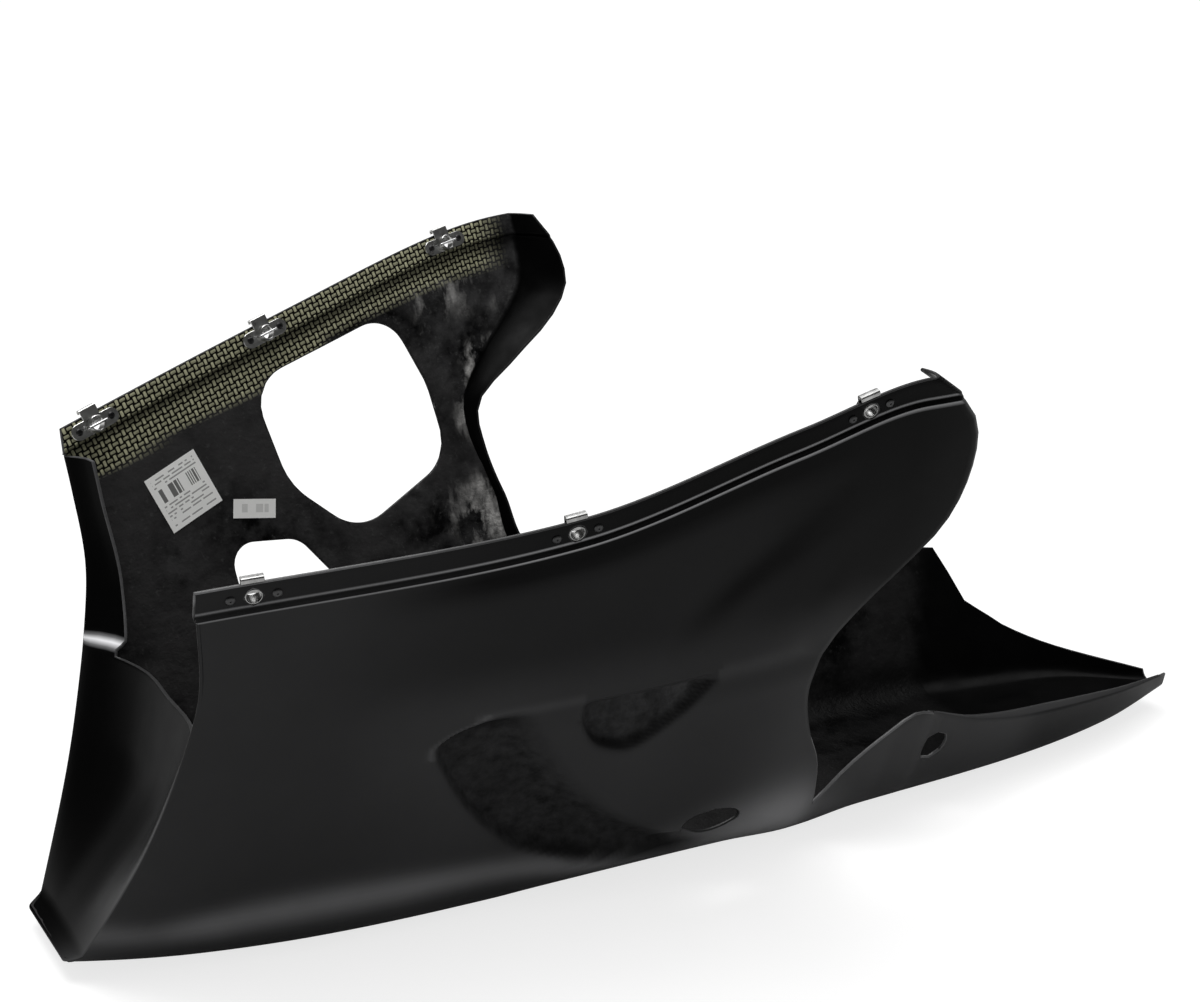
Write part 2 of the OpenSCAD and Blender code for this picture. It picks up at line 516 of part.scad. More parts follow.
collar_wall = 0.7;
flange_hole_gap = 0.6;
rivet_gap = 0.2;
module along_stud(d, from, to)
    translate([0, from, 0]) rotate([-90, 0, 0]) cylinder(d = d, h = to - from, $fn = 48);
module flange_cuts(side, n) at_stud(side, n) {
    along_stud(stud_dia + 2 * collar_wall + flange_hole_gap, -cut_l / 4, cut_l / 4);
    for (x = [-rivet_pitch / 2, rivet_pitch / 2])
        translate([x, 0, 0]) along_stud(rivet_dia + rivet_gap, -cut_l / 4, cut_l / 4);
}

module shell() {
    color("#1b1c1e") in_place() difference() {
        moulding();
        window(upper_window);
        window(lower_window);
        cut_at(LEFT, drain_x, drain_z) linear_extrude(height = cut_l, center = true)
            polygon([for (a = [0:drain_step:360 - drain_step])
                [drain_h / 2 * cos(a), drain_w / 2 * sin(a)]]);
        cut_at(LEFT, tail_hole_x, tail_hole_z)
            cylinder(d = tail_hole_dia, h = cut_l, center = true, $fn = 64);
        for (side = [LEFT, RIGHT], n = [0:2]) flange_cuts(side, n);
    }
}

// Quarter-turn receptacles: a plate on the inner face, a barrel with a collar through the flange,
// and a tab folded over the edge
seat = 0.3;
plate_h = 11;
barrel_wall = 1.6;
barrel_l = 5;
tab_lip = 3;
plate_y = -sheet_t - seat;
barrel_y = plate_y - plate_t - barrel_l;
module receptacle(side, n) {
    color("#b9bcc0") in_place() at_stud(side, n) difference() {
        union() {
            translate([0, plate_y, 0]) rotate([90, 0, 0]) linear_extrude(height = plate_t) {
                square([rivet_pitch, plate_h], center = true);
                for (x = [-rivet_pitch / 2, rivet_pitch / 2])
                    translate([x, 0]) circle(d = plate_h, $fn = 48);
            }
            along_stud(stud_dia + 2 * barrel_wall, barrel_y, plate_y - plate_t / 2);
            along_stud(stud_dia + 2 * collar_wall, plate_y - plate_t / 2, 0);
            translate([-tab_w / 2, plate_y - plate_t, 0])
                cube([tab_w, plate_t, stud_drop + tab_rise]);
            translate([-tab_w / 2, plate_y - plate_t, stud_drop + tab_rise - plate_t])
                cube([tab_w, 2 * plate_t + 2 * seat + sheet_t, plate_t]);
            translate([-tab_w / 2, seat, stud_drop + tab_rise - tab_lip])
                cube([tab_w, plate_t, tab_lip]);
        }
        along_stud(stud_dia, barrel_y - plate_t, plate_t);
        for (x = [-rivet_pitch / 2, rivet_pitch / 2])
            translate([x, 0, 0])
                along_stud(rivet_dia + rivet_gap, plate_y - 2 * plate_t, plate_y + plate_t);
    }
}

// Spring wire: a bar across the end of the barrel on two legs that stand on the plate
module spring(side, n) {
    leg_x = stud_dia / 2 + barrel_wall + wire_dia;
    bar_y = barrel_y - seat - wire_dia / 2;
    color("#d5d7d9") in_place() at_stud(side, n) {
        translate([-leg_x, bar_y, 0]) rotate([0, 90, 0])
            cylinder(d = wire_dia, h = 2 * leg_x, $fn = 24);
        for (x = [-leg_x, leg_x]) translate([x, 0, 0]) {
            along_stud(wire_dia, bar_y, plate_y - plate_t);
            translate([0, bar_y, 0]) sphere(d = wire_dia, $fn = 24);
        }
    }
}

// Rivets: a shank with a low head outside and a closed tail inside
head_dia = 5.6;
head_h = 1;
tail_dia = 4.8;
tail_h = 0.9;
module rivets(side, n) {
    color("#8d9094") in_place() at_stud(side, n)
        for (x = [-rivet_pitch / 2, rivet_pitch / 2]) translate([x, 0, 0]) {
            along_stud(rivet_dia, plate_y - plate_t - tail_h / 2, seat + head_h / 2);
            along_stud(head_dia, seat, seat + head_h / 2);
            translate([0, seat + head_h / 2, 0]) rotate([-90, 0, 0])
                cylinder(d1 = head_dia, d2 = head_dia / 2, h = head_h / 2, $fn = 48);
            along_stud(tail_dia, plate_y - plate_t - tail_h, plate_y - plate_t);
        }
}

// Paper labels that follow the inner face of the right wall
label_gap = 0.2;
label_cells = 4;
function inside_pt(x, z, lift) =
    [x, face_y(RIGHT, x, z), z] - (sheet_t + lift) * out_normal(RIGHT, x, z);
module label(x, z, w, h, turn) {
    n = label_cells;
    side_n = n + 1;
    function spot(i, j, lift) =
        let(u = w * (i / n - 0.5), v = h * (j / n - 0.5), a = out_normal(RIGHT, x, z))
        inside_pt(x + (u * cos(turn) - v * sin(turn)) * cos(asin(a[0])),
            z + (u * sin(turn) + v * cos(turn)) * cos(asin(a[2])), lift);
    points = [for (lift = [label_gap, label_gap + label_t]) for (j = [0:n]) for (i = [0:n])
        spot(i, j, lift)];
    function id(i, j, k) = k * side_n * side_n + j * side_n + i;
    polyhedron(points = points, convexity = 2, faces = flat(concat(
        [for (k = [0:1]) for (i = [0:n - 1]) for (j = [0:n - 1])
            skin_cell([id(i, j, k), id(i + 1, j, k), id(i + 1, j + 1, k), id(i, j + 1, k)], k)],
        [for (i = [0:n - 1]) cell([id(i + 1, 0, 0), id(i, 0, 0), id(i, 0, 1), id(i + 1, 0, 1)])],
        [for (i = [0:n - 1]) cell([id(i, n, 0), id(i + 1, n, 0), id(i + 1, n, 1), id(i, n, 1)])],
        [for (j = [0:n - 1]) cell([id(0, j, 0), id(0, j + 1, 0), id(0, j + 1, 1), id(0, j, 1)])],
        [for (j = [0:n - 1]) cell([id(n, j + 1, 0), id(n, j, 0), id(n, j, 1), id(n, j + 1, 1)])])));
}
large_label_x = 142;
large_label_z = 239;
large_label_turn = 23;
small_label_x = 192;
small_label_z = 219;
small_label_turn = -9;
module large_label()
    color("#dcdcda") in_place()
        label(large_label_x, large_label_z, large_label_side, large_label_side, large_label_turn);
module small_label()
    color("#d4d4d2") in_place()
        label(small_label_x, small_label_z, small_label_w, small_label_h, small_label_turn);

shell();
receptacle(LEFT, 0);  // receptacle_left_front
receptacle(LEFT, 1);  // receptacle_left_middle
receptacle(LEFT, 2);  // receptacle_left_rear
receptacle(RIGHT, 0);  // receptacle_right_front
receptacle(RIGHT, 1);  // receptacle_right_middle
receptacle(RIGHT, 2);  // receptacle_right_rear
spring(LEFT, 0);  // spring_left_front
spring(LEFT, 1);  // spring_left_middle
spring(LEFT, 2);  // spring_left_rear
spring(RIGHT, 0);  // spring_right_front
spring(RIGHT, 1);  // spring_right_middle
spring(RIGHT, 2);  // spring_right_rear
rivets(LEFT, 0);  // rivets_left_front
rivets(LEFT, 1);  // rivets_left_middle
rivets(LEFT, 2);  // rivets_left_rear
rivets(RIGHT, 0);  // rivets_right_front
rivets(RIGHT, 1);  // rivets_right_middle
rivets(RIGHT, 2);  // rivets_right_rear
large_label();
small_label();
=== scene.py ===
import math

import bmesh
import bpy
import numpy as np
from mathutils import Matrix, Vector, geometry, noise


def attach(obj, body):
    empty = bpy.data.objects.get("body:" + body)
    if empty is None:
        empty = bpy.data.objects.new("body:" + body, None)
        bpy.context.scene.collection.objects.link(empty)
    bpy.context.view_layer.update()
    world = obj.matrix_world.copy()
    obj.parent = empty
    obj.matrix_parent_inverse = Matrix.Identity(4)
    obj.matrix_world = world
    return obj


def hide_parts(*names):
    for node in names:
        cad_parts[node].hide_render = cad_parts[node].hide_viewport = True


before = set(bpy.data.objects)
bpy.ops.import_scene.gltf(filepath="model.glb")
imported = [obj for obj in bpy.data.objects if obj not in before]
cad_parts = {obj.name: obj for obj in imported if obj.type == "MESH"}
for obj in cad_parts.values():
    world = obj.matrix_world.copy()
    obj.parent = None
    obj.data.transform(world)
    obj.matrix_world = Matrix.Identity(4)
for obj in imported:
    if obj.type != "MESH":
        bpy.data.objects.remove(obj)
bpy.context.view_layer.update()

# Sizes in millimetres, in the pan's own stations: x = 0 at the front of the keel
LEFT, RIGHT = -1, 1
PAN_L, SHEET_T, FLANGE_H, JOGGLE_D = 900, 2.4, 14.5, 3
KEEL_W, KEEL_FRONT_W, BILGE_R, BULGE_BILGE_R = 84, 40, 22, 44
KEEL_RISE, TAIL_RISE, FLAT_FROM, FLAT_TO = 12, 16, 150, 680
# Left and right flange: front x, length, front and rear height, front and rear half width
LFX, LFL, LFH, LRH, LFW, LRW = 73, 432, 271, 357, 145, 208
RFX, RFL, RFH, RRH, RFW, RRW = 60, 392, 292, 402, 156, 250
DAM_H, DAM_D, LIP_W = 154, 26, 28
LEFT_END, RIGHT_END = LFX + LFL, RFX + RFL
ORIGIN_X = (FLAT_FROM + FLAT_TO) / 2
MM = 0.001


def mix(a, b, t):
    return a + (b - a) * t


def ease(a, b, x):
    t = np.clip((np.asarray(x, float) - a) / (b - a), 0, 1)
    return t * t * (3 - 2 * t)


def along(points, x):
    """Smooth curve through the points, held level past both ends."""
    p = np.array(points, float)
    n = len(p)
    slope = np.array([(p[min(n - 1, i + 1), 1] - p[max(0, i - 1), 1])
                      / (p[min(n - 1, i + 1), 0] - p[max(0, i - 1), 0]) for i in range(n)])
    x = np.asarray(x, float)
    i = np.clip(np.searchsorted(p[:, 0], x, side="right") - 1, 0, n - 2)
    h = p[i + 1, 0] - p[i, 0]
    t = np.clip((x - p[i, 0]) / h, 0, 1)
    return ((2 * t**3 - 3 * t**2 + 1) * p[i, 1] + (t**3 - 2 * t**2 + t) * slope[i] * h
            + (3 * t**2 - 2 * t**3) * p[i + 1, 1] + (t**3 - t**2) * slope[i + 1] * h)


left_w_curve = [[LFX, LFW], [300, mix(LFW, LRW, 0.5)], [LEFT_END, LRW], [620, 200], [808, 162], [PAN_L, 93]]
left_h_curve = [[LFX, LFH], [290, mix(LFH, LRH, 0.23)], [420, mix(LFH, LRH, 0.72)], [LEFT_END, LRH],
                [PAN_L, LRH]]
right_w_curve = [[RFX, RFW], [250, mix(RFW, RRW, 0.53)], [RIGHT_END, RRW], [789, 246], [850, 219],
                 [PAN_L, 140]]
right_h_curve = [[RFX, RFH], [220, mix(RFH, RRH, 0.48)], [370, mix(RFH, RRH, 0.9)], [RIGHT_END, RRH],
                 [PAN_L, RRH]]
left_keel_curve = [[0, KEEL_FRONT_W], [80, 0.73 * KEEL_W], [160, 0.89 * KEEL_W], [280, 0.97 * KEEL_W],
                   [350, 1.12 * KEEL_W], [440, 1.13 * KEEL_W], [510, 0.96 * KEEL_W], [670, 0.81 * KEEL_W],
                   [820, 0.6 * KEEL_W], [PAN_L, 30]]
right_keel_curve = [[0, KEEL_FRONT_W], [80, 0.75 * KEEL_W], [160, 0.93 * KEEL_W], [290, KEEL_W],
                    [500, KEEL_W], [720, KEEL_W], [770, 0.86 * KEEL_W], [850, 0.5 * KEEL_W], [PAN_L, -12]]
bilge_curve = [[0, 6], [120, BILGE_R], [270, BILGE_R], [350, BULGE_BILGE_R], [440, BULGE_BILGE_R], [500, 18],
               [560, BILGE_R], [800, 12], [PAN_L, 6]]
style_curve = [[236, 160], [304, 163], [397, 170], [464, 176], [560, 188]]
pocket_front_curve = [[38, 300], [48, 276], [60, 262], [91, 236], [120, 219], [142, 211], [152, 222],
                      [161, 244]]
pocket_low_curve = [[250, 52], [285, 44], [349, 28], [400, 24]]
boss_front_curve = [[35, 400], [49, 365], [73, 328], [107, 294], [144, 270], [163, 262]]
leaf_low_curve = [[302, 152], [312, 133], [325, 125], [340, 124], [365, 140], [396, 167]]
prow_curve = [[0, 0], [47, 22], [85, 38], [120, 50], [163, 62], [205, 70], [250, 68], [310, 62]]
NOTCH_X, LEFT_NOTCH_Z, RIGHT_NOTCH_Z, SETBACK = 505, 30, 122, 3
left_rear_curve = [[LEFT_NOTCH_Z, NOTCH_X], [72, 495], [107, 477], [141, 466], [165, 469], [191, 490],
                   [222, 521], [249, 545], [282, 553], [318, 546], [342, 524], [LRH, LEFT_END]]
right_rear_curve = [[RIGHT_NOTCH_Z, NOTCH_X], [138, 432], [160, 394], [205, 384], [249, 371], [279, 371],
                    [307, 392], [330, 416], [353, 433], [RRH, 434]]
left_rim_curve = [[NOTCH_X, LEFT_NOTCH_Z], [528, 58], [560, 82], [578, 91], [602, 84], [646, 66], [700, 53],
                  [760, 46], [820, 40], [PAN_L, 30]]
right_rim_curve = [[NOTCH_X, RIGHT_NOTCH_Z], [620, 112], [700, 108], [770, 112], [778, 107], [790, 72],
                   [806, 59], [822, 47], [855, 33], [PAN_L, 25]]


def by_side(side, a, b, x):
    return along(a if side == LEFT else b, x)


def wall_w(side, x):
    return by_side(side, left_w_curve, right_w_curve, x)


def wall_h(side, x):
    return by_side(side, left_h_curve, right_h_curve, x)


def keel_y(side, x):
    return by_side(side, left_keel_curve, right_keel_curve, x)


def keel_z(x):
    return (KEEL_RISE * np.maximum(0, 1 - x / FLAT_FROM) ** 2
            + TAIL_RISE * np.maximum(0, (x - FLAT_TO) / (PAN_L - FLAT_TO)) ** 2)


def bilge(side, x):
    r = along(bilge_curve, x)
    return r if side == LEFT else np.minimum(BILGE_R, r)


def face_y(side, x, z):
    s = np.maximum(0, z - keel_z(x)) / wall_h(side, x)
    k = keel_y(side, x)
    r = bilge(side, x)
    q = np.clip(1 - (z - keel_z(x)) / r, 0, 1)
    return k + (wall_w(side, x) - k) * s**0.92 - r * (1 - np.sqrt(1 - q * q))


def pocket(x, z):
    front, low = along(pocket_front_curve, z), along(pocket_low_curve, x)
    top, boss = along(style_curve, x), along(boss_front_curve, z)
    return (ease(front, front + 13, x) * (1 - ease(boss - 15, boss + 15, x))
            * ease(low, low + 15, z) * (1 - ease(top - 10, top, z)))


def leaf(x, z):
    low, top = along(leaf_low_curve, x), along(style_curve, x)
    return (ease(302, 313, x) * (1 - ease(388, 398, x)) * ease(low, low + 7, z) * (1 - ease(top - 7, top, z)))


def bulge(x, z):
    top = along(style_curve, x)
    return ease(250, 340, x) * (1 - ease(top - 24, top, z)) * ease(0, BULGE_BILGE_R, z)


def dent(x, z):
    d = 13 * pocket(x, z) + 8 * leaf(x, z) - 5 * bulge(x, z)
    return np.where((x < 200) | (x > 600) | (z > 200), 0, d)


# Rows up each wall and columns along it and across the keel
BILGE_ROWS, DAM_ROW, LINE_ROW, STEP_ROW, TOP_ROW, KEEL_COLS = 3, 13, 22, 23, 24, 8
FORE, MID, AFT, TAIL = 6, 26, 3, 18
WALL = FORE + MID + AFT
COLS = WALL + TAIL


def water_row(side):
    return 7 if side == LEFT else 13


def share(i):
    return (0.32 * i / FORE if i < FORE else 0.32 + 0.6 * (i - FORE) / MID if i < FORE + MID
            else mix(0.92, 1, (i - FORE - MID) / AFT))


def line_z(side, x):
    return wall_h(side, x) - FLANGE_H - JOGGLE_D


FRONT_LINE = {LEFT: float(line_z(LEFT, LFX)), RIGHT: float(line_z(RIGHT, RFX))}
REAR_LINE = {LEFT: float(line_z(LEFT, LEFT_END)), RIGHT: float(line_z(RIGHT, RIGHT_END))}
NOTCH_Z = {LEFT: LEFT_NOTCH_Z, RIGHT: RIGHT_NOTCH_Z}


def front_row_z(side, j):
    return (mix(20, DAM_H, (j - BILGE_ROWS) / (DAM_ROW - BILGE_ROWS)) if j <= DAM_ROW
            else mix(DAM_H, FRONT_LINE[side], (j - DAM_ROW) / (LINE_ROW - DAM_ROW)))


def rear_row_z(side, j):
    if side == RIGHT:
        return mix(RIGHT_NOTCH_Z, REAR_LINE[side], (j - DAM_ROW) / (LINE_ROW - DAM_ROW))
    if j <= 17:
        return mix(LEFT_NOTCH_Z, 170, (j - 7) / 10)
    return mix(170, REAR_LINE[side], (j - 17) / (LINE_ROW - 17))


def lift(side, s, j):
    """Share of the way up from the water line to the sunk flange, for row j at share s of the wall."""
    a, b = front_row_z(side, water_row(side)), NOTCH_Z[side]
    return mix((front_row_z(side, j) - a) / (FRONT_LINE[side] - a),
               (rear_row_z(side, j) - b) / (REAR_LINE[side] - b), s)


def style_pull(s, x, j, low):
    """How far the rows around row 15 of the left wall are drawn onto the styling line."""
    if x < 200:
        return 0.0
    gap = along(style_curve, x) - mix(low, line_z(LEFT, x), lift(LEFT, s, 15))
    near = ease(7, 15, j) if j < 15 else 1 - ease(15, 22, j)
    return gap * ease(200, 236, x) * (1 - ease(0.85, 0.97, s)) * near


def wall_pt(side, i, j):
    """Point of the smooth face at any column i and row j, and how far the flange lies behind it."""
    s, k, w = share(min(i, WALL)), min(j, LINE_ROW), water_row(side)
    zf, zr = front_row_z(side, max(1, k)), rear_row_z(side, k)
    x0 = along(prow_curve, zf) - side * SETBACK
    rear = left_rear_curve if side == LEFT else right_rear_curve
    if k <= w:
        x1 = NOTCH_X
    else:
        x1 = mix(along(rear, zr), along(rear, REAR_LINE[side] + FLANGE_H + JOGGLE_D), max(0, j - STEP_ROW))
    x = mix(NOTCH_X, PAN_L, (i - WALL) / TAIL) if i > WALL else mix(x0, x1, s)
    kz, r = keel_z(x), bilge(side, x)
    if i > WALL:
        top = by_side(side, left_rim_curve, right_rim_curve, x)
    else:
        top = mix(front_row_z(side, w), NOTCH_Z[side], s**4 if side == LEFT else s)
    if j <= BILGE_ROWS:
        z = kz + r * (1 - math.cos(math.radians(90 * j / BILGE_ROWS)))
    elif j <= w:
        z = mix(kz + r, top, (j - BILGE_ROWS) / (w - BILGE_ROWS))
    elif j <= LINE_ROW:
        z = mix(top, line_z(side, x), lift(side, s, j))
        if side == LEFT:
            z += style_pull(s, x, j, top)
    elif j <= STEP_ROW:
        z = line_z(side, x) + JOGGLE_D * (j - LINE_ROW)
    else:
        z = mix(line_z(side, x) + JOGGLE_D, wall_h(side, x), j - STEP_ROW)
    d = JOGGLE_D * float(ease(0, 1, j - LINE_ROW))
    return np.array([x, side * face_y(side, x, z), z]), d


def cuts(*spans):
    """Values from spans of (from, to, steps), joined end to end."""
    v = []
    for a, b, n in spans:
        v += [a + (b - a) * k / n for k in range(n)]
    return v + [spans[-1][1]]


EDGE_I, EDGE_C = 0.13, 0.28
i_list = cuts((0, EDGE_I, 4), (EDGE_I, FORE, 20), (FORE, FORE + MID, 92), (FORE + MID, WALL, 9),
              (WALL, COLS, 44))
j_list = cuts((0, 3, 9), (3, 7, 12), (7, 15, 48), (15, 17, 10), (17, 21.92, 14), (21.92, 22, 1), (22, 23, 6),
              (23, 23.08, 1), (23.08, 23.16, 1), (23.16, TOP_ROW, 3))
c_list = cuts((0, EDGE_C, 4), (EDGE_C, KEEL_COLS - EDGE_C, 22), (KEEL_COLS - EDGE_C, KEEL_COLS, 4))
NI, NJ, NC = len(i_list) - 1, len(j_list) - 1, len(c_list) - 1
NG = 2 * NJ + NC
wall_i = i_list.index(WALL)
edge_i = i_list.index(EDGE_I)
line_b = j_list.index(LINE_ROW)


def near_row(v):
    return min(range(NJ + 1), key=lambda n: abs(j_list[n] - v))


def line_of(side, b):
    """Place of row b of one wall in the grid of the hull."""
    return NJ - b if side == LEFT else NJ + NC + b


def arc(a, m, e, t):
    """Point at share t of a curve from a to e that bends towards m."""
    return (1 - t) ** 2 * a + 2 * t * (1 - t) * m + t * t * e


# The grid of the hull: left wall from its top edge down, keel, right wall up
hull = np.zeros((NI + 1, NG + 1, 3))
sunk = np.zeros((NI + 1, NG + 1))
for a, i in enumerate(i_list):
    for b, j in enumerate(j_list):
        for side in (LEFT, RIGHT):
            if i <= WALL or j <= water_row(side) + 0.3:
                g = line_of(side, b)
                hull[a, g], sunk[a, g] = wall_pt(side, i, j)
    for n in range(1, NC):
        hull[a, NJ + n] = mix(hull[a, NJ], hull[a, NJ + NC], c_list[n] / KEEL_COLS)
low_g = NJ - near_row(7)
high_g = NJ + NC + near_row(13)

# The dam and the turned-in front lips
turn_curve = [[0, 0], [1, 0.15], [2, 0.6], [3, 1], [4, 1], [5, 1], [6, 0.6], [7, 0.15], [8, 0]]


def dam_pt(c, b):
    j = j_list[b]
    p, q = corner[LEFT][b], corner[RIGHT][b]
    z = mix(p[2], q[2], c / KEEL_COLS)
    w = q[1] - p[1]
    up = float(ease(DAM_H, FRONT_LINE[LEFT], z))
    lip = min(LIP_W * (1 - 0.3 * up), 0.2 * w)
    lip *= 1 - 0.2 * float(ease(160, 195, z) * (1 - ease(215, 260, z)))
    e = min(c, KEEL_COLS - c)
    inward = along([[0, 0], [1, 0.35 * lip], [2, lip], [3, mix(lip, w / 2, 0.45)], [4, w / 2]], e)
    t = inward / w if c <= 4 else 1 - inward / w
    d = DAM_D * float(ease(KEEL_RISE, 0.7 * DAM_H, z)) * (1 - 0.45 * up) * float(along(turn_curve, c))
    # The lip stands back behind the dam, so the dam ends in a small ledge at its foot
    d += 6 * float(ease(DAM_ROW + 0.3, DAM_ROW + 0.65, j)) * float(ease(0.2, 1.1, e))
    return np.array([mix(p[0], q[0], t) + d, mix(p[1], q[1], t), mix(p[2], q[2], t)])


corner = {side: [hull[0, line_of(side, b)].copy() for b in range(NJ + 1)] for side in (LEFT, RIGHT)}
dam_b = near_row(DAM_ROW)
dam = np.zeros((NC + 1, line_b + 1, 3))
for n, c in enumerate(c_list):
    for b in range(1, line_b + 1):
        dam[n, b] = dam_pt(c, b)
    dam[n, 0] = hull[0, NJ + n]

# Round the corner between each wall and its lip with a curve from a point on either side
for b in range(1, line_b + 1):
    for side in (LEFT, RIGHT):
        g = line_of(side, b)
        a, m = hull[edge_i, g].copy(), corner[side][b]
        cols = range(5) if side == LEFT else [NC - k for k in range(5)]
        e = dam[cols[4], b].copy()
        soft = float(ease(0, 6, b))
        for k in range(5):
            hull[k, g] = mix(hull[k, g], arc(a, m, e, 0.5 - 0.125 * k), soft)
            if k:
                dam[cols[k], b] = mix(dam[cols[k], b], arc(a, m, e, 0.5 + 0.125 * k), soft)

# Return flanges on the ears, and the strip that turns in along the left rim of the tail
left_ear_curve = [[100, 5], [170, 7], [220, 14], [300, 26], [LRH, 30]]
right_ear_curve = [[120, 20], [205, 9], [240, 11], [270, 14], [300, 30], [330, 40], [375, 36], [RRH, 20]]
EAR_STEPS = 8


def ear_pt(side, k, p):
    z, t = p[2], k / EAR_STEPS
    w = float(by_side(side, left_ear_curve, right_ear_curve, z))
    a = math.radians((68 if side == LEFT else 35) * (0.4 + 0.6 * t))
    return p + w * t * np.array([math.cos(a), -side * math.sin(a), 0])


ear_low = {LEFT: near_row(12), RIGHT: near_row(14)}
RIM_STEPS = 5
rim_curve = [[586, 0.8], [620, 4], [670, 9], [720, 12], [780, 10], [840, 6], [895, 2.5]]
rim_cols = [a for a in range(wall_i, NI + 1) if 588 <= hull[a, low_g][0] <= 893]


def rim_pt(a, k):
    p = hull[a, low_g]
    w, t = float(along(rim_curve, p[0])), k / RIM_STEPS
    up = math.radians(62 - 50 * t)
    return p + w * t * np.array([0, math.cos(up), math.sin(up) * 0.55])


# One list of points and faces for the outer face
points, offsets, faces, tags = [], [], [], []


def add(p, d, tag):
    points.append(np.array(p, float))
    offsets.append(np.array(d, float))
    tags.append(tag)
    return len(points) - 1


def cell(ids, a, b):
    """The points around one cell of a grid, or None where one of them is missing."""
    ring = tuple(ids.get(k) for k in ((a, b), (a, b + 1), (a + 1, b + 1), (a + 1, b)))
    return None if None in ring else ring


hull_id = {}
for a in range(NI + 1):
    for g in range(NG + 1):
        if a <= wall_i or low_g <= g <= high_g:
            p = hull[a, g]
            side = LEFT if g < NJ + NC / 2 else RIGHT
            shift = -side * sunk[a, g]
            if g < NJ:
                shift += float(dent(p[0], p[2]))
            b = NJ - g if g < NJ else max(0, g - NJ - NC)
            hull_id[a, g] = add(p, (0, shift, 0), (1, 0, j_list[b], 0 if side == LEFT else 8))
for a in range(NI):
    for g in range(NG):
        ring = cell(hull_id, a, g)
        if ring:
            faces.append(ring)

LIP_C = min(range(NC + 1), key=lambda n: abs(c_list[n] - 2))
dam_id = {}
for n in range(NC + 1):
    for b in range(line_b + 1):
        if b <= dam_b or n <= LIP_C or n >= NC - LIP_C:
            dam_id[n, b] = (hull_id[0, NJ + n] if b == 0 else hull_id[0, NJ - b] if n == 0
                            else hull_id[0, NJ + NC + b] if n == NC
                            else add(dam[n, b], (0, 0, 0), (0, 1, j_list[b], c_list[n])))
for n in range(NC):
    for b in range(line_b):
        ring = cell(dam_id, n, b)
        if ring and not (b >= dam_b and LIP_C <= n < NC - LIP_C):
            faces.append(ring)

for side in (LEFT, RIGHT):
    ear = {}
    for b in range(ear_low[side], NJ + 1):
        g = line_of(side, b)
        base = hull[wall_i, g].copy()
        for k in range(EAR_STEPS + 1):
            ear[k, b] = (hull_id[wall_i, g] if k == 0 else
                         add(ear_pt(side, k, base), (0, -side * sunk[wall_i, g], 0), (0, 2, j_list[b], 0)))
    for b in range(ear_low[side], NJ):
        for k in range(EAR_STEPS):
            ring = cell(ear, k, b)
            faces.append(ring[::-1] if side == LEFT else ring)

rim = {}
for a in rim_cols:
    for k in range(RIM_STEPS + 1):
        rim[a, k] = hull_id[a, low_g] if k == 0 else add(rim_pt(a, k), (0, 0, 0), (0, 3, 7, 0))
for a in rim_cols[:-1]:
    for k in range(RIM_STEPS):
        faces.append((rim[a, k + 1], rim[a, k], rim[a + 1, k], rim[a + 1, k + 1]))

P, D, TAGS = np.array(points), np.array(offsets), np.array(tags, float)


def vertex_normals(pos, polys):
    """Area-weighted normals from a fan of each polygon."""
    out = np.zeros_like(pos)
    sizes = {}
    for f in polys:
        sizes.setdefault(len(f), []).append(f)
    for n, group in sizes.items():
        q = np.array(group)
        total = np.zeros((len(q), 3))
        for k in range(1, n - 1):
            total += np.cross(pos[q[:, k]] - pos[q[:, 0]], pos[q[:, k + 1]] - pos[q[:, 0]])
        for k in range(n):
            np.add.at(out, q[:, k], total)
    return out / np.maximum(1e-9, np.linalg.norm(out, axis=1, keepdims=True))


# Soften the front edge of the keel, where it meets the dam
near_edge = {}
for f in faces:
    for u, v in zip(f, f[1:] + f[:1]):
        near_edge.setdefault(u, set()).add(v)
        near_edge.setdefault(v, set()).add(u)
front_ids = [i for i in range(len(P)) if P[i][0] < 9 and P[i][2] < 24]
for _ in range(5):
    old = P.copy()
    for i in front_ids:
        ring = near_edge[i]
        weight = 0.5 * float(1 - ease(3, 9, abs(old[i][0]))) * float(1 - ease(14, 22, old[i][2]))
        P[i] = mix(old[i], sum(old[k] for k in ring) / len(ring), weight)


def out_normal(side, x, z):
    a = np.array([2, side * float(face_y(side, x + 1, z) - face_y(side, x - 1, z)), 0])
    b = np.array([0, side * float(face_y(side, x, z + 1) - face_y(side, x, z - 1)), 2])
    n = side * np.cross(b, a)
    return n / np.linalg.norm(n)


def round_poly(p, steps):
    out = []
    for k in range(len(p)):
        a, b, c = (np.array(p[(k + d) % len(p)], float) for d in (-1, 0, 1))
        u, v = a[:2] - b[:2], c[:2] - b[:2]
        u, v = u / np.linalg.norm(u), v / np.linalg.norm(v)
        half = math.acos(u @ v) / 2
        m = (u + v) / np.linalg.norm(u + v)
        o = b[:2] + m * b[2] / math.sin(half)
        s, e = b[:2] + u * b[2] / math.tan(half) - o, b[:2] + v * b[2] / math.tan(half) - o
        a0 = math.atan2(s[1], s[0])
        sweep = (math.atan2(e[1], e[0]) - a0 + math.pi) % (2 * math.pi) - math.pi
        out += [o + b[2] * np.array([math.cos(a0 + sweep * i / steps), math.sin(a0 + sweep * i / steps)])
                for i in range(steps + 1)]
    return np.array(out)


